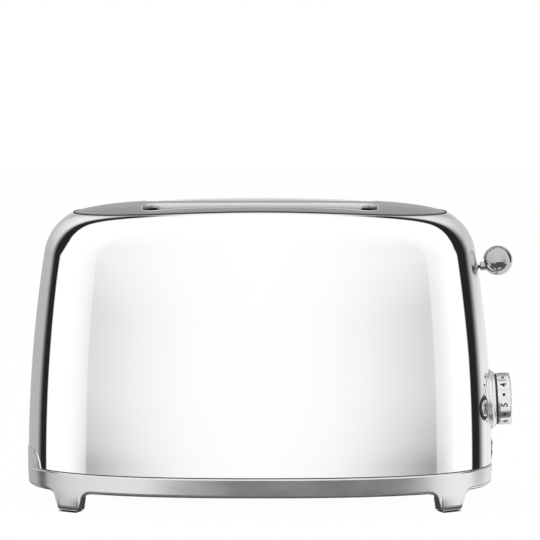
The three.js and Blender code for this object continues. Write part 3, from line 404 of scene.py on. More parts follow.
# %% [markdown]
# ## Finishes
# A metal's colour is the tint of its reflection, and its roughness spreads it. Real metal is never
# the same all over: buffing leaves hair-fine marks on chrome, brushing leaves long streaks, and a
# cast part has a fine grain. Each finish adds such detail to a Principled shader, in the piece's
# own coordinates, at the size it has on the real thing.


# %% A finish starts as a plain shader with its colour and gloss
def finish(name, colour, metallic, roughness):
    material, tree = blank_material(name)
    inputs = {"Base Color": (*colour, 1), "Metallic": metallic, "Roughness": roughness}
    shader = put(tree, "ShaderNodeBsdfPrincipled", inputs)
    put(tree, "ShaderNodeOutputMaterial", {"Surface": shader.outputs[0]})
    material.diffuse_color = (*colour, 1)
    return material, tree, shader


def stretched(tree, scale):
    where = put(tree, "ShaderNodeTexCoord").outputs["Object"]
    return put(tree, "ShaderNodeMapping", {"Vector": where, "Scale": scale}).outputs[0]


def noise(tree, where, scale, detail, roughness=0.5):
    inputs = {"Vector": where, "Scale": scale, "Detail": detail, "Roughness": roughness}
    return put(tree, "ShaderNodeTexNoise", inputs).outputs[0]


def bump(tree, shader, height, strength, distance):
    inputs = {"Height": height, "Strength": strength, "Distance": distance}
    tree.links.new(put(tree, "ShaderNodeBump", inputs).outputs[0], shader.inputs["Normal"])


def tint(tree, shader, factor, dark, light):
    tree.links.new(ramp(tree, factor, [(0.0, dark), (1.0, light)]), shader.inputs["Base Color"])


def shades(tree, shader, factor, tone, low, high):
    """Lets a tone swing between a darker and a lighter shade of itself."""
    dark = tuple(low * value for value in tone)
    light = tuple(min(1.0, high * value) for value in tone)
    tint(tree, shader, span(tree, factor, 0.3, 0.7), dark, light)


def gloss(tree, shader, factor, low, high):
    tree.links.new(span(tree, factor, 0.3, 0.7, low, high), shader.inputs["Roughness"])


print("a finish can now take noise, bump, tint and gloss")


# %% Chrome: a mirror with faint buffing marks and a breath of haze
def chrome_finish(name, haze=0.03, tone=(0.945, 0.95, 0.955)):
    material, tree, shader = finish(name, tone, 1.0, haze)
    clouds = noise(tree, stretched(tree, (9, 9, 9)), 1.0, 4.0)
    hairs = noise(tree, stretched(tree, (90, 90, 2600)), 1.0, 2.0)
    gloss(tree, shader, weighted(tree, clouds, 0.6, hairs, 0.4), haze * 0.6, haze * 1.5)
    return material


chrome = chrome_finish("polished chrome")
small_chrome = chrome_finish("chrome of the small parts", 0.06, (0.86, 0.865, 0.875))
print("made", chrome.name, "and", small_chrome.name)


# %% Brushed steel: long streaks in its colour, gloss and height
def brushed_finish(name, tone, along="X", rough=0.3, streak=1500.0):
    material, tree, shader = finish(name, tone, 1.0, rough)
    scale = tuple(14 if axis == along else streak for axis in "XYZ")
    streaks = noise(tree, stretched(tree, scale), 1.0, 4.0, 0.65)
    broad = noise(tree, stretched(tree, tuple(value / 7 for value in scale)), 1.0, 2.0)
    both = weighted(tree, streaks, 0.65, broad, 0.35)
    shades(tree, shader, both, tone, 0.84, 1.12)
    gloss(tree, shader, both, rough * 0.75, rough * 1.3)
    bump(tree, shader, streaks, 0.25, 0.04 * MM)
    return material


brushed = brushed_finish("brushed steel top", (0.6, 0.605, 0.615))
zinc = brushed_finish("zinc-coated sheet", (0.5, 0.51, 0.52), "Z", 0.42, 420.0)
print("made", brushed.name, "and", zinc.name)

# %% Satin silver: a fine cast grain under a soft sheen
SATIN_TONE, SATIN_ROUGH = (0.775, 0.785, 0.8), 0.2
satin, tree, shader = finish("satin silver", SATIN_TONE, 0.92, SATIN_ROUGH)
grain = noise(tree, stretched(tree, (1, 1, 1)), 5200.0, 2.0)
flow = noise(tree, stretched(tree, (30, 30, 130)), 1.0, 4.0)
shades(tree, shader, flow, SATIN_TONE, 0.94, 1.05)
gloss(tree, shader, flow, SATIN_ROUGH * 0.9, SATIN_ROUGH * 1.12)
bump(tree, shader, grain, 0.08, 0.05 * MM)
print("made", satin.name)


# %% Plastic, rubber, ink, copper and the other plain materials
def moulded_finish(name, tone, rough, grain=2600.0, depth=0.05 * MM, metallic=0.0):
    material, tree, shader = finish(name, tone, metallic, rough)
    spark = noise(tree, stretched(tree, (1, 1, 1)), grain, 3.0)
    patches = noise(tree, stretched(tree, (1, 1, 1)), 45.0, 3.0)
    shades(tree, shader, patches, tone, 0.8, 1.25)
    gloss(tree, shader, patches, rough * 0.85, rough * 1.15)
    bump(tree, shader, spark, 0.3, depth)
    return material


black_plastic = moulded_finish("black moulding", (0.018, 0.018, 0.02), 0.42)
rubber = moulded_finish("black rubber", (0.022, 0.022, 0.022), 0.75, 1500.0, 0.1 * MM)
ink = moulded_finish("black ink", (0.008, 0.008, 0.009), 0.55, 6000.0, 0.01 * MM)
board_green = moulded_finish("green circuit board", (0.02, 0.13, 0.06), 0.4, 900.0)
copper = moulded_finish("enamelled copper", (0.55, 0.22, 0.09), 0.3, 3000.0, 0.03 * MM, 0.9)
ribbon_grey = moulded_finish("heater ribbon", (0.34, 0.31, 0.29), 0.45, 3000.0, 0.03 * MM, 1.0)
cream = moulded_finish("pale component", (0.62, 0.56, 0.42), 0.5)
print("made 7 plain finishes")

# %% Mica: golden flakes pressed into a card
mica, tree, shader = finish("mica card", (0.55, 0.48, 0.34), 0.0, 0.45)
cells = {"Vector": stretched(tree, (1, 1, 1)), "Scale": 260.0}
flakes = put(tree, "ShaderNodeTexVoronoi", cells).outputs["Distance"]
layers = noise(tree, stretched(tree, (160, 160, 60)), 1.0, 4.0)
tint(tree, shader, weighted(tree, flakes, 0.5, layers, 0.6), (0.3, 0.24, 0.15), (0.72, 0.66, 0.5))
gloss(tree, shader, layers, 0.3, 0.6)
bump(tree, shader, flakes, 0.3, 0.1 * MM)
print("made", mica.name)

# %% [markdown]
# ## Shapes from rings
# The shell, the base and the plate all follow one outline, a superellipse: squarer than an
# ellipse, with no straight side and no corner. A shape is made by stacking rings of points along
# it. The sizes are the ones that the solids were built with.

# %% The body's outline
HALF_WIDTH, HALF_DEPTH = 155.3 * MM, 94.5 * MM
SQUARENESS = 2.4
SHELL_FOOT = shell_low.z
SHELL_EDGE = SHELL_FOOT + 0.35 * MM
BAND_TOP = base_high.z
SEAT = 0.3 * MM


def outline(half_width, half_depth, turns):
    c, s = np.cos(2 * np.pi * turns), np.sin(2 * np.pi * turns)
    x = half_width * np.sign(c) * np.abs(c) ** (2 / SQUARENESS)
    y = half_depth * np.sign(s) * np.abs(s) ** (2 / SQUARENESS)
    return np.stack([x, y], axis=1)


def lifted(flat, z):
    """Points of an outline at their heights, with the body's middle under them."""
    return np.column_stack([flat[:, 0] + BODY_X, flat[:, 1], np.broadcast_to(z, len(flat))])


def lengths_along(points):
    return np.concatenate([[0], np.cumsum(np.hypot(*np.diff(points, axis=0).T))])


def even_turns(count):
    """Turns that stand at even distances along the outline, four-fold symmetric."""
    fine = np.linspace(0, 0.25, 4001)
    length = lengths_along(outline(HALF_WIDTH, HALF_DEPTH, fine))
    quarter = np.interp(np.linspace(0, length[-1], count // 4 + 1)[:-1], length, fine)
    first_half = np.concatenate([quarter, 0.5 - np.concatenate([[0.25], quarter[:0:-1]])])
    return np.concatenate([first_half, first_half + 0.5])


SHELL_TURNS = even_turns(320)
print(f"{len(SHELL_TURNS)} points round the outline")


# %% Meshes from points and from rings
def smoothed(mesh, angle):
    mesh.polygons.foreach_set("use_smooth", [True] * len(mesh.polygons))
    mesh.set_sharp_from_angle(angle=math.radians(angle))


def mesh_object(name, points, faces, smooth_angle=35):
    mesh = bpy.data.meshes.new(name)
    mesh.from_pydata([tuple(map(float, point)) for point in points], [], faces)
    smoothed(mesh, smooth_angle)
    mesh.update()
    return linked(name, mesh)


def stacked(name, rings, loop=False, caps=(False, False), smooth_angle=35):
    """A skin over rings of the same count; a loop joins the last ring to the first."""
    count, levels = len(rings[0]), len(rings)
    points = [point for ring in rings for point in ring]
    faces = []
    for level in range(levels if loop else levels - 1):
        low, high = level * count, (level + 1) % levels * count
        for i in range(count):
            k = (i + 1) % count
            faces.append((low + i, low + k, high + k, high + i))
    if caps[0]:
        faces.append(tuple(range(count))[::-1])
    if caps[1]:
        faces.append(tuple(range((levels - 1) * count, levels * count)))
    return mesh_object(name, points, faces, smooth_angle)


def outward(piece):
    """Turns every face of a closed piece outwards."""
    shape = bmesh.new()
    shape.from_mesh(piece.data)
    bmesh.ops.recalc_face_normals(shape, faces=shape.faces)
    shape.to_mesh(piece.data)
    shape.free()
    return piece


print("meshes can be built from rings")


# %% Putting a finished piece on its body
def dress(piece, body, slot, material, *nodes):
    """Gives a piece its finish, its body and the solids that it stands for; the slot is not used.
    """
    piece.data.materials.clear()
    piece.data.materials.append(material)
    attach(piece, body)
    if nodes:
        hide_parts(*nodes)
    return piece


def settle(piece):
    """Bakes the piece's modifiers into a plain mesh."""
    depsgraph = bpy.context.evaluated_depsgraph_get()
    fresh = bpy.data.meshes.new_from_object(piece.evaluated_get(depsgraph), depsgraph=depsgraph)
    piece.modifiers.clear()
    piece.data = fresh
    return piece


def join_meshes(name, pieces, smooth_angle=35):
    points, faces = [], []
    for piece in pieces:
        first = len(points)
        matrix = piece.matrix_world
        points += [matrix @ vertex.co for vertex in piece.data.vertices]
        faces += [tuple(first + i for i in polygon.vertices) for polygon in piece.data.polygons]
        bpy.data.objects.remove(piece)
    return mesh_object(name, points, faces, smooth_angle)


print("pieces can be dressed, settled and joined")

# %% Cutting holes in a curved skin without dents in its reflections
SKIN_GAP = 0.03 * MM
SKIN_AGREEMENT = 0.97
TOWARDS_MIDDLE = 0.02


def skin_tree(mesh):
    corners = [vertex.co for vertex in mesh.vertices]
    return BVHTree.FromPolygons(corners, [tuple(polygon.vertices) for polygon in mesh.polygons])


def carve(piece, cutters):
    """Cuts closed shapes out of a piece, and gives what is left the whole skin's own normals."""
    whole = piece.data.copy()
    corner_normals = [Vector(normal.vector) for normal in whole.corner_normals]
    tree = skin_tree(whole)
    for cutter in cutters:
        bpy.context.view_layer.update()
        modifier = piece.modifiers.new("cut", "BOOLEAN")
        modifier.operation, modifier.solver, modifier.object = "DIFFERENCE", "EXACT", cutter
    settle(piece)
    for cutter in cutters:
        bpy.data.objects.remove(cutter)
    mesh = piece.data
    smoothed(mesh, 35)
    normals = [Vector(normal.vector) for normal in mesh.corner_normals]
    for polygon in mesh.polygons:
        for loop in polygon.loop_indices:
            place = mesh.vertices[mesh.loops[loop].vertex_index].co
            found, way, index, gap = tree.find_nearest(place.lerp(polygon.center, TOWARDS_MIDDLE))
            if found is None or gap > SKIN_GAP or way.dot(polygon.normal) < SKIN_AGREEMENT:
                continue
            face = whole.polygons[index]
            shares = poly_3d_calc([whole.vertices[i].co for i in face.vertices], found)
            normal = Vector()
            for share, corner in zip(shares, face.loop_indices):
                normal += share * corner_normals[corner]
            if normal.length > 0.5:
                normals[loop] = normal.normalized()
    mesh.normals_split_custom_set(normals)
    bpy.data.meshes.remove(whole)
    return piece


print("a hole keeps the skin's own normals round it")


# %% Blocks, arcs and places
def prism(name, points, low, high):
    """A closed upright block over a flat outline."""
    rings = [[(x, y, z) for x, y in points] for z in (low, high)]
    return stacked(name, rings, caps=(True, True))


def lying_prism(name, points, near, far):
    """A closed block that runs along X over an outline given in Y and Z."""
    rings = [[(x, y, z) for y, z in points] for x in (near, far)]
    return stacked(name, rings, caps=(True, True))


def quarter_arc(x, y, radius, turn, steps):
    """A quarter circle's points round a middle, anticlockwise from a turn on."""
    return [(x + radius * math.cos(angle), y + radius * math.sin(angle))
            for angle in np.linspace(turn, turn + 0.25, steps + 1) * 2 * math.pi]


def rounded(low, high, bottom, top, radius, steps=10):
    """A rounded rectangle's points, anticlockwise."""
    corners = ((high - radius, bottom + radius, -0.25), (high - radius, top - radius, 0.0),
               (low + radius, top - radius, 0.25), (low + radius, bottom + radius, 0.5))
    return [point for x, y, turn in corners for point in quarter_arc(x, y, radius, turn, steps)]


def round_angles(steps):
    return [2 * math.pi * i / steps for i in range(steps)]


def in_mm(profile):
    return [(along * MM, radius * MM) for along, radius in profile]


def frame_at(spot, out, across, up):
    """A frame whose own X, Y and Z run along three given ways."""
    place = Matrix((out, across, up)).transposed().to_4x4()
    place.translation = spot
    return place


print("helpers are ready")

# %% [markdown]
# ## The outer shell
# The real shell is one sheet of steel, pressed to shape and polished to a mirror. Its wall is a
# long arc that leans in, and a tighter arc turns it over at the shoulder, where it rolls under
# the top plate. A mirror shows the smallest dent, so the rings are close, every ring is the same
# outline drawn in, and the holes are cut without touching the surface's normals.

# %% The shell's side view, as an arc and a shoulder
WALL_ARC = 917 * MM
SHOULDER_START = 142 * MM
SHOULDER = 35 * MM
SHELL_SHEET = 1.2 * MM
SHOULDER_SPAN = 31.3 * MM
PLATE_WIDTH, PLATE_DEPTH = HALF_WIDTH - SHOULDER_SPAN, HALF_DEPTH - SHOULDER_SPAN
PLATE_SHEET = 1.0 * MM
PLATE_RISE = 6.4 * MM
DOME_POWER = 6
CROWN_LIFT = 4 * MM
CROWN_START = 0.45


def draw_in(rise):
    return WALL_ARC - np.sqrt(WALL_ARC**2 - np.square(rise))


start_lean = math.asin(SHOULDER_START / WALL_ARC)
SHOULDER_IN = draw_in(SHOULDER_START) + SHOULDER * math.cos(start_lean)
SHOULDER_Z = BAND_TOP + SHOULDER_START - SHOULDER * math.sin(start_lean)
rim_cosine = (PLATE_WIDTH + SEAT - (HALF_WIDTH - SHOULDER_IN)) / SHOULDER
RIM_Z = SHOULDER_Z + SHOULDER * math.sin(math.acos(rim_cosine))
CREST_Z = RIM_Z + PLATE_RISE
print(f"the shoulder's rim is {RIM_Z / MM:.1f} mm up, the plate's crest {CREST_Z / MM:.1f} mm")


# %% The crown: the long sides rise a little towards their middle
def crown(x):
    return CROWN_LIFT * np.clip(1 - (x / PLATE_WIDTH) ** 2, 0, None) ** 2


def body_ring(inset, z):
    flat = outline(HALF_WIDTH - inset, HALF_DEPTH - inset, SHELL_TURNS)
    start = BAND_TOP + CROWN_START * SHOULDER_START
    share = np.clip((z - start) / (RIM_Z - start), 0, 1)
    lift = share * share * (3 - 2 * share) * crown(flat[:, 0])
    return lifted(flat, z + lift)


def plate_height(x, y):
    """The crowned plate's surface over a point seen from above, in the body's own X and Y."""
    share = (np.abs(x) / PLATE_WIDTH) ** SQUARENESS + (np.abs(y) / PLATE_DEPTH) ** SQUARENESS
    share = np.maximum(share ** (1 / SQUARENESS), 1e-9)
    edge_z = RIM_Z + crown(x / share)
    return edge_z + (CREST_Z - edge_z) * (1 - np.minimum(share, 1.0) ** DOME_POWER)


def plate_ring(turns, share, drop, inset=0.0):
    flat = outline(PLATE_WIDTH * share - inset, PLATE_DEPTH * share - inset, turns)
    return lifted(flat, plate_height(flat[:, 0], flat[:, 1]) - drop)


print(f"the long sides rise by up to {CROWN_LIFT / MM:.0f} mm")

# %% The shell's rings, outside up, over the rim, under the plate and down inside
ROLL = 0.6 * MM
FLANGE = 0.955
INNER_LAST = math.radians(48)
EDGE_CHAMFER = 0.25 * MM


def shell_profile(inset, wall_steps, arc_steps, last_angle):
    rows = [(inset, SHELL_EDGE)]
    if not inset:
        rows = [(EDGE_CHAMFER, SHELL_EDGE), (0.0, SHELL_EDGE + EDGE_CHAMFER)]
    for rise in np.linspace(0, SHOULDER_START, wall_steps)[1:]:
        rows.append((float(draw_in(rise)) + inset, BAND_TOP + rise))
    radius = SHOULDER - inset
    for angle in np.linspace(start_lean, last_angle, arc_steps)[1:]:
        rows.append((SHOULDER_IN - radius * math.cos(angle), SHOULDER_Z + radius * math.sin(angle)))
    return rows


roll_radius = SHOULDER - ROLL
roll_angle = math.acos((SHOULDER_IN + ROLL - (HALF_WIDTH - PLATE_WIDTH - SEAT)) / roll_radius)
outer = shell_profile(0.0, 34, 30, roll_angle)
roll_in = SHOULDER_IN - roll_radius * math.cos(roll_angle)
roll_z = SHOULDER_Z + roll_radius * math.sin(roll_angle)
for angle in np.linspace(roll_angle, math.pi, 9)[1:]:
    outer.append((roll_in - ROLL * math.cos(angle), roll_z + ROLL * math.sin(angle)))
rings = [body_ring(inset, z) for inset, z in outer]
under = PLATE_SHEET + SEAT
for share, drop in ((0.995, under), (FLANGE, under), (FLANGE, under + SHELL_SHEET),
                    (0.985, under + 1.9 * SHELL_SHEET)):
    rings.append(plate_ring(SHELL_TURNS, share, drop))
inner = shell_profile(SHELL_SHEET, 12, 10, INNER_LAST)
rings += [body_ring(inset, z) for inset, z in inner[::-1]]
shell = stacked("polished_shell", rings, loop=True, smooth_angle=40)
print(f"{len(rings)} rings, {len(shell.data.polygons)} faces")


# %% Places on the end wall
def wall_halves(z):
    """The shell's half width and half depth at a height."""
    inset = float(draw_in(z - BAND_TOP))
    return HALF_WIDTH - inset, HALF_DEPTH - inset


def end_wall(y, z):
    """A point on the end wall with the way out of it: the frame of a dial or button."""
    half_width, half_depth = wall_halves(z)
    turn = math.asin((abs(y) / half_depth) ** (SQUARENESS / 2)) / (2 * math.pi)
    flat = outline(half_width, half_depth, np.array([math.copysign(turn, y) if y else 0.0]))[0]
    power = SQUARENESS - 1
    nx = (abs(flat[0]) / half_width) ** power / half_width
    ny = math.copysign((abs(flat[1]) / half_depth) ** power / half_depth, y) if y else 0.0
    lean = math.asin((z - BAND_TOP) / WALL_ARC)
    out = Vector((nx, ny, 0)).normalized() * math.cos(lean)
    out.z = math.sin(lean)
    across = Vector((0, 0, 1)).cross(out).normalized()
    return frame_at(Vector((flat[0] + BODY_X, flat[1], z)), out, across, out.cross(across))


DIAL_Z = 67.9 * MM
BUTTON_REACH, BUTTON_DROP = 33 * MM, 2.3 * MM
dial_place = end_wall(0.0, DIAL_Z)
button_places = {
    "reheat": end_wall(-BUTTON_REACH, DIAL_Z - BUTTON_DROP),
    "defrost": end_wall(BUTTON_REACH, DIAL_Z - BUTTON_DROP),
    "bagel": end_wall(0.0, DIAL_Z - BUTTON_REACH),
}
print(f"the dial is {DIAL_Z / MM:.1f} mm up, with {len(button_places)} buttons round it")


# %% Round pieces, turned about a place's outward axis
def turned(name, profile, place, steps, smooth_angle=35):
    """Spins [distance out, radius] pairs about the frame's own outward axis."""
    points, faces, rings = [], [], []
    for along, radius in profile:
        first = len(points)
        angles = round_angles(steps) if radius > 0 else [0.0]
        points += [place @ Vector((along, radius * math.cos(angle), radius * math.sin(angle)))
                   for angle in angles]
        rings.append(range(first, len(points)))
    pairs = list(zip(rings, rings[1:]))
    if len(rings[0]) > 1:
        pairs.append((rings[-1], rings[0]))
    for low, high in pairs:
        for i in range(steps):
            k = (i + 1) % steps
            if len(low) == 1 and len(high) > 1:
                faces.append((low[0], high[k], high[i]))
            elif len(high) == 1 and len(low) > 1:
                faces.append((high[0], low[i], low[k]))
            elif len(low) > 1:
                faces.append((low[i], low[k], high[k], high[i]))
    return outward(mesh_object(name, points, faces, smooth_angle))


def drill(place, radius, steps, low=-9 * MM, high=9 * MM):
    """A closed cylinder along the frame's outward axis, to cut a hole with."""
    return turned("drill", [(low, 0), (low, radius), (high, radius), (high, 0)], place, steps)


print("round pieces and drills are ready")

# %% The shell's openings: the lever's slot, the tray's arch, and holes behind the controls
arm_low, arm_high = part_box("lever_arm")
BALL_RADIUS = (ball_high.x - ball_low.x) / 2
slide = next(joint for joint in frame["joints"] if joint["name"] == "carriage_slide")
SLIDE = Vector(slide["axis"])
TRAVEL = slide["range_m"][1]
ARM_DROP, ARM_HALF_WIDTH = 2.7 * MM, 1.9 * MM
SLOT_CLEAR, SLOT_ABOVE, SLOT_BELOW = 0.8 * MM, 2 * MM, 3.3 * MM
BEYOND = 4 * MM
half = ARM_HALF_WIDTH + SLOT_CLEAR
slot_top = BALL.z - ARM_DROP + SLOT_ABOVE + SLOT_CLEAR
slot_bottom = BALL.z - ARM_DROP - TRAVEL * abs(SLIDE.z) - SLOT_BELOW - SLOT_CLEAR
slot_points = rounded(-half, half, slot_bottom, slot_top, half * 0.98)
arm_cut = lying_prism("arm cut", slot_points, shell_high.x - SHOULDER, shell_high.x + BEYOND)
handle_low, handle_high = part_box("crumb_tray_handle")
HANDLE_HALF, HANDLE_CORNER = 43 * MM, 13 * MM
reach, corner = HANDLE_HALF + SEAT, HANDLE_CORNER + SEAT
arch_x, arch_y = reach - corner, handle_high.z + SEAT - corner
arch_points = [(-reach, SHELL_FOOT - BEYOND), (reach, SHELL_FOOT - BEYOND),
               *quarter_arc(arch_x, arch_y, corner, 0.0, 14),
               *quarter_arc(-arch_x, arch_y, corner, 0.25, 14)]
arch_cut = lying_prism("arch cut", arch_points, handle_low.x - BEYOND, handle_low.x + SHOULDER)
BEZEL, SHAFT = 8 * MM, 3 * MM
hole_cuts = [drill(place, BEZEL + SEAT, 48) for place in button_places.values()]
hole_cuts.append(drill(dial_place, SHAFT + 2 * SEAT, 32))
carve(shell, [arm_cut, arch_cut, *hole_cuts])
dress(shell, "housing", "chrome", chrome, "outer_shell")
print(f"6 openings cut; the shell has {len(shell.data.polygons)} faces")

# %% [markdown]
# ## The top plate
# A brushed sheet closes the top. It is a flat dome that drops away at its ends, so its rings are
# outlines at shares of its size. The bread slots are cut out of it, and each has a lip that rolls
# down into the slot, so that no raw edge can scratch a hand. The lips are deep along the sides,
# where they guide the bread, and shallow round the ends. A thin black ring round the plate's rim
# stands in for the shadow in the gap under its edge: painted shade.

# %% The dome, with a small round at its edge
PLATE_TURNS = even_turns(256)
EDGE_ROUND = 0.4 * MM
shares = np.concatenate([np.linspace(0.04, 0.6, 12), np.linspace(0.64, 0.985, 22)])
rings = [plate_ring(PLATE_TURNS, share, 0.0) for share in shares]
for angle in np.linspace(0, math.pi / 2, 5):
    drop, inset = EDGE_ROUND * (1 - math.cos(angle)), EDGE_ROUND * (1 - math.sin(angle))
    rings.append(plate_ring(PLATE_TURNS, 1.0, drop, inset))
rings += [plate_ring(PLATE_TURNS, share, PLATE_SHEET) for share in shares[::-1]]
plate = outward(stacked("brushed_top", rings[::-1], caps=(True, True), smooth_angle=40))
print(f"{len(rings)} rings in the dome")

# %% The two bread slots
SLOT_END_MARGIN, SLOT_SIDE_MARGIN, SLOT_BRIDGE = 46.5 * MM, 15.2 * MM, 24 * MM
SLOT_HALF = PLATE_WIDTH - SLOT_END_MARGIN
SLOT_INNER = SLOT_BRIDGE / 2
SLOT_OUTER = PLATE_DEPTH - SLOT_SIDE_MARGIN
SLOT_CORNER = 9 * MM
LIP_ROLL = 0.75 * MM


def slot_outline(grow, side):
    low, high = (SLOT_INNER, SLOT_OUTER) if side > 0 else (-SLOT_OUTER, -SLOT_INNER)
    reach = SLOT_HALF + grow
    return rounded(-reach, reach, low - grow, high + grow, SLOT_CORNER + grow, 14)


cutters = []
for side in (-1, 1):
    points = [(x + BODY_X, y) for x, y in slot_outline(LIP_ROLL, side)]
    cutters.append(prism("slot cut", points, RIM_Z - 20 * MM, CREST_Z + 20 * MM))
carve(plate, cutters)
dress(plate, "housing", "brushed", brushed, "top_plate")
print(f"the slots are {2 * SLOT_HALF / MM:.0f} x {(SLOT_OUTER - SLOT_INNER) / MM:.0f} mm")


# %% The rolled lips: one section carried round each slot
def closed_path(points, spacing):
    """The same closed path with its straight stretches divided evenly."""
    path = []
    for (x0, y0), (x1, y1) in zip(points, points[1:] + points[:1]):
        count = max(1, round(math.hypot(x1 - x0, y1 - y0) / spacing))
        path += [(x0 + (x1 - x0) * i / count, y0 + (y1 - y0) * i / count) for i in range(count)]
    return np.array(path)


def outward_ways(path):
    ahead = np.roll(path, -1, axis=0) - np.roll(path, 1, axis=0)
    ahead /= np.hypot(ahead[:, 0], ahead[:, 1])[:, None]
    return np.column_stack([ahead[:, 1], -ahead[:, 0]])


LIP_DEPTH, LIP_SHEET, LIP_EDGE = 12 * MM, 0.8 * MM, 0.3 * MM
END_DEPTH = 1.9 * MM
lip_section = [(LIP_ROLL * (1 + math.cos(angle)), LIP_ROLL * (math.sin(angle) - 0.87))
               for angle in np.linspace(0, math.pi, 12)]
lip_section += [(0, -LIP_DEPTH / 2), (0, -LIP_DEPTH + LIP_EDGE), (0.25 * MM, -LIP_DEPTH),
                (0.55 * MM, -LIP_DEPTH), (LIP_SHEET, -LIP_DEPTH + LIP_EDGE),
                (LIP_SHEET, -1.3 * PLATE_SHEET), (1.9 * LIP_ROLL, -1.2 * PLATE_SHEET)]
lips = []
for side in (-1, 1):
    path = closed_path(slot_outline(0.0, side), 3 * MM)
    ways = outward_ways(path)
    deep = np.interp(np.abs(path[:, 0]), [SLOT_HALF - 12 * MM, SLOT_HALF - 10 * MM], [1.0, 0.0])
    rings = []
    for away, rise in lip_section:
        short = np.maximum(rise, -END_DEPTH + 0.1 * rise)
        fall = np.where(deep > 0, rise * deep + short * (1 - deep), short)
        rings.append(lifted(path + ways * away, plate_height(path[:, 0], path[:, 1]) + fall))
    lips.append(stacked("lip", rings, loop=True, smooth_angle=50))
slot_lips = outward(join_meshes("slot_lips", lips, 50))
lip_steel = brushed_finish("drawn steel lips", (0.78, 0.785, 0.795), "X", 0.22)
dress(slot_lips, "housing", "brushed", lip_steel)
print(f"two rolled lips, {len(slot_lips.data.polygons)} faces")

# %% The black ring round the plate's rim: its black is painted shadow, for the shade in the gap under the plate
rim_rings = []
for grow, rise in ((-0.1, -0.4), (-0.1, 0.22), (0.3, 0.34), (0.8, 0.24), (0.95, -0.4)):
    flat = outline(PLATE_WIDTH + grow * MM, PLATE_DEPTH + grow * MM, PLATE_TURNS)
    rim_rings.append(lifted(flat, RIM_Z + rise * MM + crown(flat[:, 0])))
rim_shadow_seal = outward(stacked("plate_seal", rim_rings, loop=True))
dress(rim_shadow_seal, "housing", "rubber", rubber)
print("the plate's seal is 1 mm wide")

# %% [markdown]
# ## The base
# A satin casting carries everything: a band round the foot of the shell, an inner ledge that the
# cover is screwed to, and four feet that grow out of the band with a fillet. It is one section
# carried round the outline. Where a foot stands, the section reaches down and further in.

# %% Distances along the band
BAND_WIDTH, BAND_DEPTH = HALF_WIDTH + 0.5 * MM, HALF_DEPTH + 0.5 * MM
BAND_BOTTOM = 13 * MM
BAND_CHAMFER = 0.9 * MM
BAND_ROUND = 1.8 * MM
BAND_WALL, BAND_TOP_WALL = 4 * MM, 8 * MM
BAND_DRAFT = math.tan(math.radians(3))
fine_turns = np.linspace(0, 1, 16001)
fine_length = lengths_along(outline(BAND_WIDTH, BAND_DEPTH, fine_turns))
ROUND_BAND = fine_length[-1]


def turn_at(length):
    return np.interp(np.mod(length, ROUND_BAND), fine_length, fine_turns)


def away_from(middle, length):
    """How far a length lies from a middle, the short way round, with its sign."""
    return (length - middle + ROUND_BAND / 2) % ROUND_BAND - ROUND_BAND / 2


def band_point(turn, inset=0.0):
    return outline(BAND_WIDTH - inset, BAND_DEPTH - inset, np.array([turn]))[0]


def inward_way(turn):
    ahead = outline(BAND_WIDTH, BAND_DEPTH, np.array([turn - 1e-5, turn + 1e-5]))
    along = ahead[1] - ahead[0]
    along /= np.hypot(*along)
    return np.array([-along[1], along[0]])


FOOT_TURN, PAD_TURN = 38.1 / 360, 39 / 360
foot_turns = {
    "rear_right": FOOT_TURN,
    "rear_left": 0.5 - FOOT_TURN,
    "front_left": 0.5 + FOOT_TURN,
    "front_right": 1 - FOOT_TURN,
}
foot_lengths = {corner: float(np.interp(turn, fine_turns, fine_length))
                for corner, turn in foot_turns.items()}
print(f"the band is {ROUND_BAND / MM:.0f} mm round")

# %% A foot's side view: flat toe, tapered side, then a fillet up to the band
FOOT_TOP, FOOT_KNEE, FOOT_TOE = 19.5 * MM, 11.2 * MM, 9.4 * MM
FOOT_FILLET = 4.8 * MM
TOE_ROUND = 2.2 * MM
FOOT_DEPTH = 13 * MM
FOOT_BOTTOM = 0.8 * MM
profile = [(0.0, FOOT_BOTTOM), (0.55 * (FOOT_TOE - TOE_ROUND), FOOT_BOTTOM)]
for angle in np.linspace(0, math.pi / 2, 7):
    profile.append((FOOT_TOE - TOE_ROUND + TOE_ROUND * math.sin(angle),
                    FOOT_BOTTOM + TOE_ROUND * (1 - math.cos(angle))))
for angle in np.linspace(0, math.pi / 2, 10):
    profile.append((FOOT_TOP - (FOOT_TOP - FOOT_KNEE) * math.cos(angle),
                    BAND_BOTTOM - FOOT_FILLET * (1 - math.sin(angle))))
foot_away, foot_low = np.array(profile).T
foot_slope = FOOT_KNEE + 0.3 * (FOOT_TOP - FOOT_KNEE)
foot_reach = np.interp(foot_away, [0, FOOT_KNEE, foot_slope, FOOT_TOP],
                       [FOOT_DEPTH, FOOT_DEPTH, 0.7 * FOOT_DEPTH, BAND_WALL])
foot_squeeze = np.interp(foot_away, [0, FOOT_KNEE, FOOT_TOP], [0.6, 0.6, 1.0])
print(f"{len(profile)} stations from a foot's middle to its end")

# %% The stations round the base, closer together through each foot
STATION_STEP = 3.2 * MM
stations = set()
for middle in foot_lengths.values():
    for away in foot_away:
        stations |= {round(middle + away, 7), round(middle - away, 7)}
for length in np.arange(0, ROUND_BAND, STATION_STEP):
    clear = min(abs(away_from(middle, length)) for middle in foot_lengths.values())
    if clear > FOOT_TOP + 1 * MM:
        stations.add(round(length, 7))
stations = sorted(stations)
print(f"{len(stations)} stations round the base")

# %% The base: its section at each station
cover_low, cover_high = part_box("bottom_cover")
LEDGE = 16 * MM
LEDGE_LOW = cover_high.z + SEAT
LEDGE_HIGH = LEDGE_LOW + 2 * MM
FOOT_CEILING = cover_low.z - SEAT


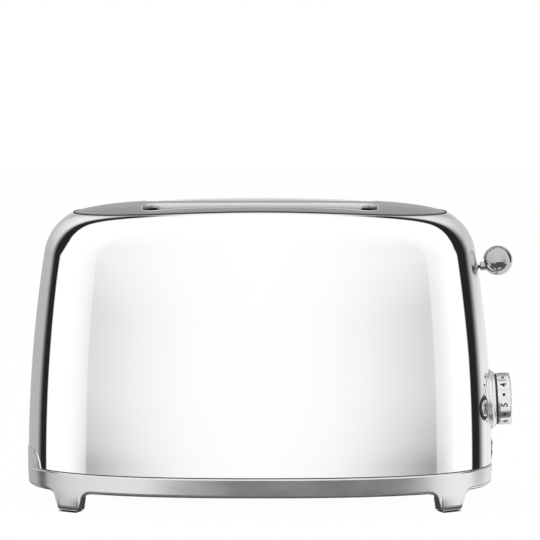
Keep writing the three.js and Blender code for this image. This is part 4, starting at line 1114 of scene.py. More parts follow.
def base_section(length):
    """The base's outline across the band, from the outside over the top to the inside."""
    middle = min(foot_lengths.values(), key=lambda foot: abs(away_from(foot, length)))
    away = away_from(middle, length)
    low, reach, squeeze = (float(np.interp(abs(away), foot_away, values))
                           for values in (foot_low, foot_reach, foot_squeeze))
    turn = float(turn_at(length))
    in_turn = float(turn_at(middle + squeeze * away)) if abs(away) < FOOT_TOP else turn
    inner = band_point(in_turn) + reach * inward_way(in_turn)

    def spot(inset, z):
        flat = band_point(turn, inset)
        return (flat[0] + BODY_X, flat[1], z)

    def outer(inset, z):
        return spot(inset + BAND_DRAFT * max(0.0, BAND_TOP - z), z)

    depth_share = np.clip((BAND_BOTTOM - low) / (BAND_BOTTOM - FOOT_BOTTOM), 0, 1)
    edge = BAND_ROUND + (0.5 * MM - BAND_ROUND) * min(1.0, 4 * depth_share)
    inner_low = low
    if depth_share < 0.02:
        inner_low = max(low, min(low + 0.45 * MM, FOOT_CEILING - 0.45 * MM))
    shoulder = BAND_TOP - BAND_CHAMFER
    points = [outer(edge * (1 - math.cos(angle)), low + edge * (1 - math.sin(angle)))
              for angle in np.linspace(math.pi / 2, 0, 6)[::-1]]
    points += [outer(0, low + edge + (shoulder - low - edge) * share)
               for share in (0.04, 0.5, 0.96)]
    points += [outer(0, shoulder), outer(0.14 * MM, shoulder + 0.16 * MM),
               outer(BAND_CHAMFER - 0.16 * MM, BAND_TOP - 0.14 * MM)]
    points += [spot(inset, z) for inset, z in (
        (BAND_CHAMFER, BAND_TOP), (BAND_TOP_WALL, BAND_TOP), (BAND_TOP_WALL, LEDGE_HIGH),
        (LEDGE, LEDGE_HIGH), (LEDGE, LEDGE_LOW), (BAND_WALL, LEDGE_LOW), (BAND_WALL, FOOT_CEILING))]
    points += [(inner[0] + BODY_X, inner[1], z)
               for z in (max(FOOT_CEILING, inner_low + 0.2 * MM), inner_low)]
    return points


sections = [base_section(length) for length in stations]
base = outward(stacked("satin_base", sections, loop=True, smooth_angle=32))
print(f"{len(stations)} stations, {len(base.data.polygons)} faces")

# %% A dark ring between the base and the shell: its black is painted shadow, for the shade in the seam
shadow_seal_turns = even_turns(192)
shadow_seal_rings = []
for inset, rise in ((0.5, 0.02), (0.5, 0.6), (1.15, 0.6), (1.15, 0.02)):
    flat = outline(HALF_WIDTH - inset * MM, HALF_DEPTH - inset * MM, shadow_seal_turns)
    shadow_seal_rings.append(lifted(flat, BAND_TOP + rise * MM))
shadow_seal = outward(stacked("shell_seal", shadow_seal_rings, loop=True))
dress(shadow_seal, "housing", "rubber", rubber)
print("the seal is 0.6 mm high")

# %% The lead's inlet, then the finish
inlet_low, inlet_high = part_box("lead_inlet_bush")
INLET_TURN = 0.19
INLET = 3.9 * MM
inlet_flat = band_point(INLET_TURN)
inlet_spot = Vector((inlet_flat[0] + BODY_X, inlet_flat[1], (inlet_low.z + inlet_high.z) / 2))
out, up = Vector((*-inward_way(INLET_TURN), 0)), Vector((0, 0, 1))
inlet_place = frame_at(inlet_spot, out, up.cross(out), up)
carve(base, [drill(inlet_place, INLET + SEAT, 40, -24 * MM, 12 * MM)])
dress(base, "housing", "satin", satin, "base_frame")
print("the inlet is cut, low at the back")

# %% [markdown]
# ## Under the toaster
# Rubber pads under the feet, a ventilated bottom cover with four screws, and the bush that the
# lead enters by. Small pieces in a row, such as the vents and ribs here and the guides' wires and
# rivets further on, are laid out by one Geometry Nodes group: copies of one piece, made real and
# given a material.


# %% A row of copies of one piece
def row_group():
    group = bpy.data.node_groups.new("row of pieces", "GeometryNodeTree")
    kinds = {"Piece": "Object", "Count": "Int", "Start": "Vector", "Step": "Vector",
             "Material": "Material"}
    for name, kind in kinds.items():
        group.interface.new_socket(name, in_out="INPUT", socket_type="NodeSocket" + kind)
    group.interface.new_socket("Geometry", in_out="OUTPUT", socket_type="NodeSocketGeometry")
    given = group.nodes.new("NodeGroupInput").outputs
    steps = {"Count": given["Count"], "Start Location": given["Start"], "Offset": given["Step"]}
    line = put(group, "GeometryNodeMeshLine", steps).outputs[0]
    shape = put(group, "GeometryNodeObjectInfo", {"Object": given["Piece"]}).outputs["Geometry"]
    instances = {"Points": line, "Instance": shape}
    copies = put(group, "GeometryNodeInstanceOnPoints", instances).outputs[0]
    real = put(group, "GeometryNodeRealizeInstances", {"Geometry": copies}).outputs[0]
    paint = {"Geometry": real, "Material": given["Material"]}
    painted = put(group, "GeometryNodeSetMaterial", paint).outputs[0]
    put(group, "NodeGroupOutput", {0: painted})
    return group


ROW = row_group()
ROW_INPUTS = {item.name: item.identifier
              for item in ROW.interface.items_tree if item.in_out == "INPUT"}


def row(name, piece, count, start, step, material):
    """Copies of a piece, each one step on from the last; the piece itself is used up."""
    holder = mesh_object(name, [(0, 0, 0)], [])
    modifier = holder.modifiers.new("row", "NODES")
    modifier.node_group = ROW
    values = {"Piece": piece, "Count": count, "Start": Vector(start), "Step": Vector(step),
              "Material": material}
    for title, value in values.items():
        modifier[ROW_INPUTS[title]] = value
    holder.data.materials.append(material)
    bpy.context.view_layer.update()
    settle(holder)
    bpy.data.objects.remove(piece)
    return holder


print("the row group has", len(ROW_INPUTS), "inputs")

# %% Fine copies of plain solids: facets joined, edges rounded a little
SAME_PLACE = 1e-6
FLAT_ANGLE = 0.6


def from_bmesh(name, shape):
    mesh = bpy.data.meshes.new(name)
    shape.to_mesh(mesh)
    shape.free()
    return linked(name, mesh)


def bevelled(piece, width, segments, angle):
    """Rounds every edge that turns by more than an angle."""
    edges = piece.modifiers.new("edges", "BEVEL")
    edges.width, edges.segments = width, segments
    edges.limit_method, edges.angle_limit = "ANGLE", math.radians(angle)
    bpy.context.view_layer.update()
    settle(piece)
    smoothed(piece.data, 32)
    return piece


def refined(node, bevel, segments=2, angle=25):
    """A plain solid's own mesh without its seams, with rounded edges."""
    shape = bmesh.new()
    shape.from_mesh(frame["nodes"][node].data)
    bmesh.ops.remove_doubles(shape, verts=shape.verts, dist=SAME_PLACE)
    bmesh.ops.dissolve_limit(shape, angle_limit=math.radians(FLAT_ANGLE),
                             verts=shape.verts, edges=shape.edges)
    return bevelled(from_bmesh(node + "_fine", shape), bevel, segments, angle)


def fine(node, body, slot, material, bevel=0.2 * MM, segments=2):
    """A fine copy in its finish, in the plain solid's place."""
    return dress(refined(node, bevel, segments), body, slot, material, node)


def bar_block(name, low, high, radius=0.3 * MM, segments=2):
    """A block between two corners with rounded edges."""
    points = [(x, y, z) for x in (low[0], high[0]) for y in (low[1], high[1])
              for z in (low[2], high[2])]
    faces = [(0, 1, 3, 2), (4, 6, 7, 5), (0, 4, 5, 1), (2, 3, 7, 6), (0, 2, 6, 4), (1, 5, 7, 3)]
    return bevelled(outward(mesh_object(name, points, faces)), radius, segments, 30)


print("fine copies and rounded blocks are ready")

# %% The pads: each shows under its foot, and its upper part is let into it
PAD_SHARE = 0.45
for corner, turn in foot_turns.items():
    node = "foot_pad_" + corner
    pad = refined(node, 0.25 * MM)
    pad.data.transform(Matrix.Scale(PAD_SHARE, 4, (0, 0, 1)))
    plain_turn = turn + math.copysign(PAD_TURN - FOOT_TURN, math.sin(4 * math.pi * turn))
    now, plain = band_point(turn), band_point(plain_turn)
    pad.data.transform(Matrix.Translation((now[0] - plain[0], now[1] - plain[1], 0)))
    dress(pad, "housing", "rubber", rubber, node)
print("4 pads")

# %% The bottom cover: louvred vents over the openings, and pressed stiffening ribs
cover = refined("bottom_cover", 0.3 * MM, 2, 40)
VENT_COUNT, VENT_PITCH, VENT_ROW, VENT_HALF = 6, 12 * MM, 22 * MM, 14 * MM
hood_section = [(1.8, 0.0), (1.8, -0.5), (0.9, -1.15), (-0.4, -1.3), (-1.6, -0.8), (-1.6, -0.4),
                (-0.5, -0.75), (0.7, -0.6)]
louvres = []
for side in (-1, 1):
    ring = [(x * MM, z * MM + cover_low.z + 0.1 * MM) for x, z in hood_section]
    rings = [[(x + 1.6 * MM, y, z) for x, z in ring] for y in np.linspace(-VENT_HALF, VENT_HALF, 9)]
    hood = outward(stacked("hood", rings, caps=(True, True)))
    start = (BODY_X - (VENT_COUNT - 1) / 2 * VENT_PITCH, side * VENT_ROW, 0)
    louvres.append(row("louvre row", hood, VENT_COUNT, start, (VENT_PITCH, 0, 0), black_plastic))
dress(join_meshes("vent_louvres", louvres), "housing", "black", black_plastic)
rib_low, rib_high = cover_low.z - 0.5 * MM, cover_low.z + 0.1 * MM
ribs = []
for half_x, half_y, away_x, away_y in ((0.9, 52, 82, 0), (62, 0.9, 0, 46)):
    x, y = half_x * MM, half_y * MM
    rib = bar_block("rib", (-x, -y, rib_low), (x, y, rib_high))
    start, step = (BODY_X - away_x * MM, -away_y * MM, 0), (2 * away_x * MM, 2 * away_y * MM, 0)
    ribs.append(row("rib row", rib, 2, start, step, black_plastic))
dress(join_meshes("cover_ribs", ribs), "housing", "black", black_plastic)
dress(cover, "housing", "black", black_plastic, "bottom_cover")
print(f"{2 * VENT_COUNT} louvres and 4 ribs")


# %% The cover's screws, with a cross recess
def cross_screw(name, radius, height, shank, length):
    """A round-headed screw, head downwards, its seat at z = 0."""
    place = Matrix(((0, 0, -1, 0), (0, 1, 0, 0), (-1, 0, 0, 0), (0, 0, 0, 1))).inverted()
    profile = [(height, 0)]
    profile += [(height * math.cos(angle), radius * math.sin(angle))
                for angle in np.linspace(0.15, 1.35, 7)]
    profile += [(0.15 * MM, radius), (0, radius - 0.15 * MM), (0, shank), (-length + shank, shank),
                (-length, 0)]
    arms = []
    for x, y in ((0.62 * radius, 0.14 * radius), (0.14 * radius, 0.62 * radius)):
        corners = [(-x, -y), (x, -y), (x, y), (-x, y)]
        arms.append(prism("arm", corners, -height - 1 * MM, -0.4 * height))
    return carve(turned(name, profile, place, 40), arms)


first_low, first_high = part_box("cover_screw_1")
HEAD, HEAD_HEIGHT, SHANK = (first_high.x - first_low.x) / 2, 2.0 * MM, 1.4 * MM
for i in range(4):
    node = f"cover_screw_{i + 1}"
    low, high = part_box(node)
    screw = cross_screw(node + "_fine", HEAD, HEAD_HEIGHT, SHANK, high.z - cover_low.z + SEAT)
    centre = (low + high) / 2
    under_cover = Matrix.Translation((centre.x, centre.y, cover_low.z - SEAT))
    screw.data.transform(under_cover @ Matrix.Rotation(0.4 + i, 4, "Z"))
    dress(screw, "housing", "steel", zinc, node)
print("4 screws with a cross recess")

# %% The lead's bush: a ribbed rubber sleeve with a flange
sleeve = [(-6.6, 2.2), (-6.6, 3.3), (-6.2, 3.6)]
for i in range(3):
    start = -5.8 + 1.6 * i
    sleeve += [(start, 3.6), (start + 0.15, 3.3), (start + 0.75, 3.3), (start + 0.9, 3.6)]
sleeve += [(-0.4, 3.6), (-0.2, 3.6), (0.3, 3.75), (0.35, 4.35), (0.6, 4.6), (1.2, 4.6), (1.5, 4.3),
           (1.5, 2.6), (1.2, 2.2)]
bush = turned("lead_bush", in_mm(sleeve), inlet_place, 64)
dress(bush, "housing", "black", rubber, "lead_inlet_bush")
print(f"the bush lies {inlet_place.translation.z / MM:.1f} mm up")

# %% [markdown]
# ## The lever
# A flat steel arm comes out of the shell's slot, square to the leaning end wall, and carries a
# polished ball. The ball has a flat land and a small ferrule where the arm enters it.

# %% The arm
lean = math.asin(SLIDE.x)
ahead = Vector((math.cos(lean), 0, math.sin(lean)))
level = Vector((0, 1, 0))
arm_up = ahead.cross(level)
arm_place = frame_at(BALL - arm_up * ARM_DROP * math.cos(lean), ahead, level, arm_up)
arm_length = (arm_high.x - arm_low.x) / math.cos(lean)
ARM_HALF_THICK, ARM_ROUND = 1 * MM, 0.45 * MM
arm_end = -BALL_RADIUS + 5 * MM
arm_start = arm_end - arm_length
arm_ring = rounded(-ARM_HALF_WIDTH, ARM_HALF_WIDTH, -ARM_HALF_THICK, ARM_HALF_THICK, ARM_ROUND, 4)
alongs = [arm_start, arm_start + 0.3 * MM, *np.linspace(arm_start + 2 * MM, arm_end - 2 * MM, 12),
          arm_end - 0.3 * MM, arm_end]
shrinks = [0.8, *[1.0] * 14, 0.8]
arm_rings = [[arm_place @ Vector((along, y * shrink, z * shrink)) for y, z in arm_ring]
             for along, shrink in zip(alongs, shrinks)]
arm_bar = outward(stacked("lever_bar", arm_rings, caps=(True, True)))
dark_steel = brushed_finish("blackened steel", (0.1, 0.1, 0.105), "X", 0.35, 900.0)
dress(arm_bar, "carriage_body", "steel", dark_steel, "lever_arm")
print(f"the arm is {arm_length / MM:.1f} mm long")

# %% The ball and its ferrule
LAND = 3.4 * MM
ball_place = arm_place.copy()
ball_place.translation = BALL
land_angle = math.asin(LAND / BALL_RADIUS)
land_at = -BALL_RADIUS * math.cos(land_angle)
ball_profile = [(land_at + 0.25 * MM, 0.0), (land_at + 0.25 * MM, LAND - 0.5 * MM),
                (land_at + 0.08 * MM, LAND - 0.12 * MM)]
ball_profile += [(-BALL_RADIUS * math.cos(angle), BALL_RADIUS * math.sin(angle))
                 for angle in np.linspace(land_angle + 0.02, math.pi, 48)[:-1]]
ball_profile.append((BALL_RADIUS, 0.0))
ball = turned("ball_knob", ball_profile, ball_place, 96, 40)
ferrule_profile = [(-2.6, 2.55), (-2.3, 2.85), (-0.4, 2.95), (0.6, 3.05), (1.2, 3.05), (1.2, 2.2),
                   (-2.6, 2.2)]
ferrule_place = arm_place.copy()
entry = math.sqrt(BALL_RADIUS**2 - ARM_DROP**2)
ferrule_place.translation = arm_place @ Vector((-entry, 0, 0))
ferrule = turned("ferrule", in_mm(ferrule_profile), ferrule_place, 48)
ball_knob = join_meshes("ball_knob_and_ferrule", [ball, ferrule], 40)
# The ball's chrome is much darker than the shell's. This is painted shade, standing in for the dark
# surroundings that the ball reflects.
ball_chrome_painted_darker = chrome_finish("chrome of the ball, darkened as painted shade", 0.12, (0.5, 0.505, 0.52))
dress(ball_knob, "carriage_body", "chrome", ball_chrome_painted_darker, "lever_ball")
print(f"the ball is {2 * BALL_RADIUS / MM:.1f} mm across")

# %% [markdown]
# ## The dial
# A stepped collar is seated on the shell, a black washer lies in the gap above it, and the number
# ring turns on top of it with the cancel cap in its middle. The washer's black is painted shadow,
# for the shade in that gap. The number 3 stands at the top. Between two numbers there is a dot.

# %% The collar, its back following the shell
shell_tree = skin_tree(shell.data)
SEAT_GAP = 0.05 * MM
CAST_FROM = 25 * MM


def seated(piece, place, back):
    """Moves the points that lie as far back as 'back' onto the shell's surface."""
    way = place.to_3x3() @ Vector((1, 0, 0))
    inverse = place.inverted()
    for vertex in piece.data.vertices:
        local = inverse @ vertex.co
        if local.x > back + 1e-6:
            continue
        found = shell_tree.ray_cast(place @ Vector((CAST_FROM, local.y, local.z)), -way)[0]
        if found is not None:
            local.x = (inverse @ found).x + SEAT_GAP
            vertex.co = place @ local


collar_profile = [(-3.4, 4.2), (-3.4, 19.55), (-0.6, 19.75), (0.6, 19.9), (1.0, 19.85),
                  (1.25, 19.6), (1.34, 19.3), (1.55, 18.95), (1.9, 18.72), (2.3, 18.6),
                  (2.85, 18.52), (3.2, 18.3), (3.38, 17.9), (3.4, 17.5), (3.4, 4.2)]
collar = turned("stepped_collar", in_mm(collar_profile), dial_place, 160, 30)
seated(collar, dial_place, -3.4 * MM)
collar_steel = brushed_finish("turned steel collar", (0.86, 0.865, 0.875), "X", 0.3)
dress(collar, "housing", "chrome", collar_steel, "dial_collar")
# The washer's black is painted shadow: it stands in for the shade in the gap under the number ring.
shadow_washer_profile = [(3.48, 3.6), (3.48, 16.85), (3.6, 17.05), (4.5, 17.05), (4.6, 16.9), (4.6, 3.6)]
washer = turned("dark_washer", in_mm(shadow_washer_profile), dial_place, 128)
dress(washer, "housing", "black", black_plastic, "dial_washer")
print("collar and washer")

# %% The number ring
DIAL_FROM, DIAL_TO, DIAL_RADIUS, DIAL_EDGE = 4.7 * MM, 13.9 * MM, 17.35 * MM, 1.5 * MM
CAP_RADIUS = 10.4 * MM
STEP, RIM = 0.25 * MM, 0.3 * MM
side_length = DIAL_TO - DIAL_FROM - DIAL_EDGE - RIM
ring_profile = [(DIAL_FROM, 0), (DIAL_FROM, DIAL_RADIUS - RIM),
                (DIAL_FROM + 0.08 * MM, DIAL_RADIUS - 0.08 * MM), (DIAL_FROM + RIM, DIAL_RADIUS)]
ring_profile += [(DIAL_FROM + RIM + share * side_length, DIAL_RADIUS)
                 for share in (0.25, 0.5, 0.75, 1.0)]
ring_profile += [(DIAL_TO - DIAL_EDGE * (1 - math.sin(angle)),
                  DIAL_RADIUS - DIAL_EDGE * (1 - math.cos(angle)))
                 for angle in np.linspace(0, math.pi / 2, 8)[1:]]
ring_profile += [(DIAL_TO, 14.4 * MM), (DIAL_TO - STEP, 14.1 * MM), (DIAL_TO - STEP, 12.2 * MM),
                 (DIAL_TO, 11.9 * MM), (DIAL_TO, CAP_RADIUS + 0.5 * MM),
                 (DIAL_TO - STEP, CAP_RADIUS + RIM), (7.6 * MM, CAP_RADIUS + RIM),
                 (7.6 * MM, 3.6 * MM), (7.6 * MM, 0)]
dial_ring = turned("number_ring", ring_profile, dial_place, 192, 30)
ring_steel = brushed_finish("turned steel ring", (0.8, 0.805, 0.815), "X", 0.2)
dress(dial_ring, "dial_body", "chrome", ring_steel, "dial")
print("the ring is", round(2 * DIAL_RADIUS / MM, 1), "mm across")


# %% Marks: flat shapes cut into narrow strips, then bent round the ring or laid on a face
def flat_text(text, size, bolden):
    curve = bpy.data.curves.new("mark", "FONT")
    curve.body, curve.size, curve.offset, curve.resolution_u = text, size, bolden, 5
    curve.align_x, curve.align_y = "CENTER", "CENTER"
    holder = linked("mark", curve)
    bpy.context.view_layer.update()
    depsgraph = bpy.context.evaluated_depsgraph_get()
    mesh = bpy.data.meshes.new_from_object(holder.evaluated_get(depsgraph), depsgraph=depsgraph)
    shape = bmesh.new()
    shape.from_mesh(mesh)
    bpy.data.objects.remove(holder)
    return shape


def flat_dot(radius):
    shape = bmesh.new()
    shape.faces.new([shape.verts.new((radius * math.cos(angle), radius * math.sin(angle), 0))
                     for angle in round_angles(20)])
    return shape


def middle_of(values):
    return (min(values) + max(values)) / 2


MARK_LOW, MARK_HIGH = -0.1 * MM, 0.05 * MM


def raised_mark(shape, to_place, strip=0.35 * MM):
    """Gives a flat shape thickness; to_place puts (right, up, height) on the piece."""
    bmesh.ops.remove_doubles(shape, verts=shape.verts, dist=SAME_PLACE)
    xs = [vertex.co.x for vertex in shape.verts]
    middle_x, middle_y = middle_of(xs), middle_of([vertex.co.y for vertex in shape.verts])
    for x in np.arange(min(xs) + strip, max(xs), strip):
        everything = shape.verts[:] + shape.edges[:] + shape.faces[:]
        bmesh.ops.bisect_plane(shape, geom=everything, plane_co=(x, 0, 0), plane_no=(1, 0, 0))
    bmesh.ops.triangulate(shape, faces=shape.faces)
    grown = bmesh.ops.extrude_face_region(shape, geom=shape.faces[:])
    tops = {part for part in grown["geom"] if isinstance(part, bmesh.types.BMVert)}
    for vertex in shape.verts:
        height = MARK_HIGH if vertex in tops else MARK_LOW
        vertex.co = to_place(vertex.co.x - middle_x, vertex.co.y - middle_y, height)
    bmesh.ops.recalc_face_normals(shape, faces=shape.faces)
    return from_bmesh("mark", shape)


print("marks can be cut from text, dots and strokes")

# %% The numbers and dots round the ring
NUMBER_PITCH = 46
FIVE_AT = 188.2
MARK_ALONG = 8.75 * MM
NUMBER_SIZE, NUMBER_BOLD, DOT_RADIUS = 6.1 * MM, 0.15 * MM, 1.05 * MM


def on_ring(degrees):
    def to_place(right, up, height):
        angle = math.radians(degrees) - right / DIAL_RADIUS
        radius = DIAL_RADIUS + height
        y, z = radius * math.cos(angle), radius * math.sin(angle)
        return dial_place @ Vector((MARK_ALONG - up, y, z))
    return to_place


marks = []
for number in range(1, 7):
    degrees = FIVE_AT + (number - 5) * NUMBER_PITCH
    marks.append(raised_mark(flat_text(str(number), NUMBER_SIZE, NUMBER_BOLD), on_ring(degrees)))
    if number < 6:
        marks.append(raised_mark(flat_dot(DOT_RADIUS), on_ring(degrees + NUMBER_PITCH / 2)))
dress(join_meshes("dial_marks", marks, 30), "dial_body", "black", ink)
print("6 numbers and 5 dots")

# %% The cap, faintly domed, with a small cross on it
cap_profile = [(9.7, 0), (9.7, 10.1), (9.9, 10.4), (12.9, 10.4)]
cap_profile += [(13.9 - 1.0 * (1 - math.sin(angle)), 10.4 - 1.0 * (1 - math.cos(angle)))
                for angle in np.linspace(0, math.pi / 2, 7)[1:]]
cap_profile += [(13.9 + 0.45 * (1 - (radius / 9.4) ** 2), radius)
                for radius in (8.2, 6.6, 4.8, 3.0, 1.4)]
cap_profile.append((14.35, 0))
cap = turned("cancel_cap_fine", in_mm(cap_profile), dial_place, 128, 30)
cap_steel = brushed_finish("turned steel cap", (0.84, 0.845, 0.855), "Y", 0.16)
dress(cap, "cancel_body", "chrome", cap_steel, "cancel_cap")


def flat_strokes(paths, half_width):
    """Strips of even width along open paths, as one flat shape."""
    shape = bmesh.new()
    for path in paths:
        path = np.array(path)
        ahead = np.gradient(path, axis=0)
        ahead /= np.hypot(ahead[:, 0], ahead[:, 1])[:, None]
        way = np.column_stack([-ahead[:, 1], ahead[:, 0]]) * half_width
        sides = [[shape.verts.new((*spot, 0)) for spot in path + sign * way] for sign in (-1, 1)]
        for i in range(len(path) - 1):
            shape.faces.new((sides[0][i], sides[0][i + 1], sides[1][i + 1], sides[1][i]))
    return shape


def on_face(place, along):
    return lambda right, up, height: place @ Vector((along + height, right, up))


def sign_marks(paths, half_width, to_place, strip):
    return [raised_mark(flat_strokes([path], half_width), to_place, strip) for path in paths]


cross = [[(reach * math.cos(turn), reach * math.sin(turn))
          for reach in np.linspace(-1.7 * MM, 1.7 * MM, 3)] for turn in (math.pi / 4, -math.pi / 4)]
cross_marks = sign_marks(cross, 0.28 * MM, on_face(dial_place, 14.33 * MM), 2 * MM)
dress(join_meshes("cap_mark", cross_marks), "cancel_body", "black", ink)
print("the cap is in place")

# %% The signs: waves for reheat, a flake for defrost and a ring for bagel
waves = [[((shift + 0.45 * math.sin(2.5 * up)) * MM, up * MM) for up in np.linspace(-2.3, 2.3, 17)]
         for shift in (-1.7, 0.0, 1.7)]
flake = []
for turn in np.arange(3) * math.pi / 3:
    way = np.array([math.cos(turn), math.sin(turn)])
    off = np.array([-math.sin(turn), math.cos(turn)])
    flake.append([way * reach * MM for reach in np.linspace(-2.5, 2.5, 3)])
    for sign in (-1, 1):
        for lean_way in (-1, 1):
            start = way * sign * 1.4
            end = way * sign * 2.2 + off * lean_way * 0.75
            flake.append([start * MM, (start + end) / 2 * MM, end * MM])
circles = [[(radius * math.cos(angle) * MM, radius * math.sin(angle) * MM)
            for angle in np.linspace(0, 2 * math.pi, 33)] for radius in (2.5, 0.95)]
signs = {"reheat": waves, "defrost": flake, "bagel": circles}
print("strokes of each sign:", {name: len(paths) for name, paths in signs.items()})

# %% The three buttons, each with its ring and its sign
SIGN_HALF, SIGN_ALONG = 0.27 * MM, 0.86 * MM
bezel_profile = [(-7, 5.95), (-7, 7.7), (-6.7, 8), (0.02, 8), (0.14, 7.9), (0.2, 7.6), (0.2, 6.4),
                 (0.12, 6.1), (0.0, 5.95)]
button_profile = [(-8.5, 0), (-8.5, 5.3), (-8.2, 5.65), (0.4, 5.65), (0.68, 5.58), (0.85, 5.4),
                  (0.9, 5.15), (0.86, 4.6), (0.8, 3.4), (0.77, 1.8), (0.76, 0)]
for name, place in button_places.items():
    bezel = turned(name + "_ring", in_mm(bezel_profile), place, 72)
    dress(bezel, "housing", "black", rubber, name + "_bezel")
    button = turned(name + "_cap", in_mm(button_profile), place, 72, 30)
    dress(button, name + "_body", "chrome", cap_steel, name + "_button")
    parts = sign_marks(signs[name], SIGN_HALF, on_face(place, SIGN_ALONG), 6 * MM)
    dress(join_meshes(name + "_sign", parts), name + "_body", "black", ink)
print("3 buttons with their rings and signs")

# %% [markdown]
# ## The crumb tray
# The tray's handle closes the arch in the shell's end wall. It is a curved plate that follows the
# shell, half a millimetre proud, with a rounded edge. The pan behind it is pressed from thin
# sheet: its wall has a rolled hem, and ribs across its floor keep it flat.


# %% The handle's outline and the wall it lies on
def end_surface(y, z, inset):
    half_width, half_depth = wall_halves(z)
    lean_in = (1 - (abs(y) / half_depth) ** SQUARENESS) ** (1 / SQUARENESS)
    return BODY_X - half_width * lean_in + inset


HANDLE_SHEET, HANDLE_PROUD, HANDLE_ROUND = 2.0 * MM, 0.5 * MM, 0.7 * MM
HANDLE_FOOT, HANDLE_TOP = handle_low.z, handle_high.z
CORNER_MIDDLE = HANDLE_HALF - HANDLE_CORNER


def arch_top(y):
    over = max(0.0, abs(y) - CORNER_MIDDLE)
    return HANDLE_TOP - HANDLE_CORNER + math.sqrt(max(0.0, HANDLE_CORNER**2 - over**2))


def rim_distance(y, z):
    over, up = abs(y) - CORNER_MIDDLE, z - (HANDLE_TOP - HANDLE_CORNER)
    top = HANDLE_CORNER - math.hypot(over, up) if over > 0 and up > 0 else HANDLE_TOP - z
    return max(0.0, min(top, z - HANDLE_FOOT))


def rim_drop(distance):
    short = max(0.0, HANDLE_ROUND - distance)
    return HANDLE_ROUND - math.sqrt(HANDLE_ROUND**2 - short**2)


def eased(count):
    """Shares from 0 to 1, closer together near both ends."""
    return (1 - np.cos(np.linspace(0, math.pi, count))) / 2


print(f"the handle's arch is {2 * HANDLE_HALF / MM:.0f} mm wide")

# %% The handle: a grid laid on the end wall, its rim drawn in
corner_reach = math.sqrt(HANDLE_CORNER**2 - (HANDLE_FOOT - HANDLE_TOP + HANDLE_CORNER) ** 2)
y_reach = CORNER_MIDDLE + corner_reach - 0.02 * MM
across = [y_reach * (2 * share - 1) for share in eased(81)]
front_rows, back_rows = [], []
for share in eased(17):
    zs = [HANDLE_FOOT + (arch_top(y) - HANDLE_FOOT) * share for y in across]
    front_rows.append([(end_surface(y, z, -HANDLE_PROUD + rim_drop(rim_distance(y, z))), y, z)
                       for y, z in zip(across, zs)])
    back_rows.append([(end_surface(y, z, HANDLE_SHEET - HANDLE_PROUD), y, z)
                      for y, z in zip(across, zs)])


def two_sided(name, front, back):
    """Closes two grids of the same size, one behind the other, into a plate."""
    rows, columns = len(front), len(front[0])
    points = [point for grid in (front, back) for line in grid for point in line]
    behind = rows * columns
    faces = []
    for i in range(rows - 1):
        for j in range(columns - 1):
            a = i * columns + j
            faces.append((a, a + 1, a + columns + 1, a + columns))
            faces.append(tuple(behind + k for k in (a, a + columns, a + columns + 1, a + 1)))
    border = list(range(columns)) + [i * columns + columns - 1 for i in range(1, rows)]
    border += [(rows - 1) * columns + j for j in range(columns - 2, -1, -1)]
    border += [i * columns for i in range(rows - 2, 0, -1)]
    for a, b in zip(border, border[1:] + border[:1]):
        faces.append((a, behind + a, behind + b, b))
    return outward(mesh_object(name, points, faces, 40))


handle = two_sided("tray_handle", front_rows, back_rows)
dress(handle, "tray_body", "chrome", small_chrome, "crumb_tray_handle")
print(f"the handle is {(HANDLE_TOP - HANDLE_FOOT) / MM:.0f} mm high")

# %% The pan, from rings of one outline
tray_low, tray_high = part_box("crumb_tray")
TRAY_SHEET, HEM, PAN_CORNER = 0.8 * MM, 0.55 * MM, 3 * MM


def tray_outline(shrink, z):
    half, far = tray_high.y - shrink, tray_high.x - shrink
    radius = max(PAN_CORNER - shrink, 0.6 * MM)
    flat = [*quarter_arc(far - radius, -half + radius, radius, -0.25, 8),
            *quarter_arc(far - radius, half - radius, radius, 0.0, 8)]
    flat += [(end_surface(y, 30 * MM, HANDLE_SHEET + SEAT + shrink), y)
             for y in np.linspace(half, -half, 33)[1:-1]]
    return [(x, y, z) for x, y in flat]


floor_z, rim_z = tray_low.z, tray_high.z
inner_wall = 0.1 * MM + TRAY_SHEET
wall_rows = [(1.2 * MM, floor_z), (0.35 * MM, floor_z + 0.35 * MM), (0.1 * MM, floor_z + 1.2 * MM),
             (0.1 * MM, rim_z - 2.0 * MM), (0.0, rim_z - 1.6 * MM), (0.0, rim_z - HEM)]
wall_rows += [(HEM * (1 - math.cos(angle)), rim_z - HEM + HEM * math.sin(angle))
              for angle in np.linspace(0, math.pi, 8)[1:]]
wall_rows += [(2 * HEM, rim_z - 1.6 * MM), (inner_wall, rim_z - 2.1 * MM),
              (inner_wall, floor_z + 1.6 * MM),
              (0.6 * MM + TRAY_SHEET, floor_z + TRAY_SHEET + 0.2 * MM),
              (1.6 * MM + TRAY_SHEET, floor_z + TRAY_SHEET)]
pan_rings = [tray_outline(shrink, z) for shrink, z in wall_rows]
pan = outward(stacked("crumb_pan", pan_rings, caps=(True, True)))
pan_sheet = brushed_finish("tray sheet", (0.62, 0.625, 0.635), "Y", 0.32)
dress(pan, "tray_body", "brushed", pan_sheet, "crumb_tray")
print(f"{len(wall_rows)} rings in the pan")

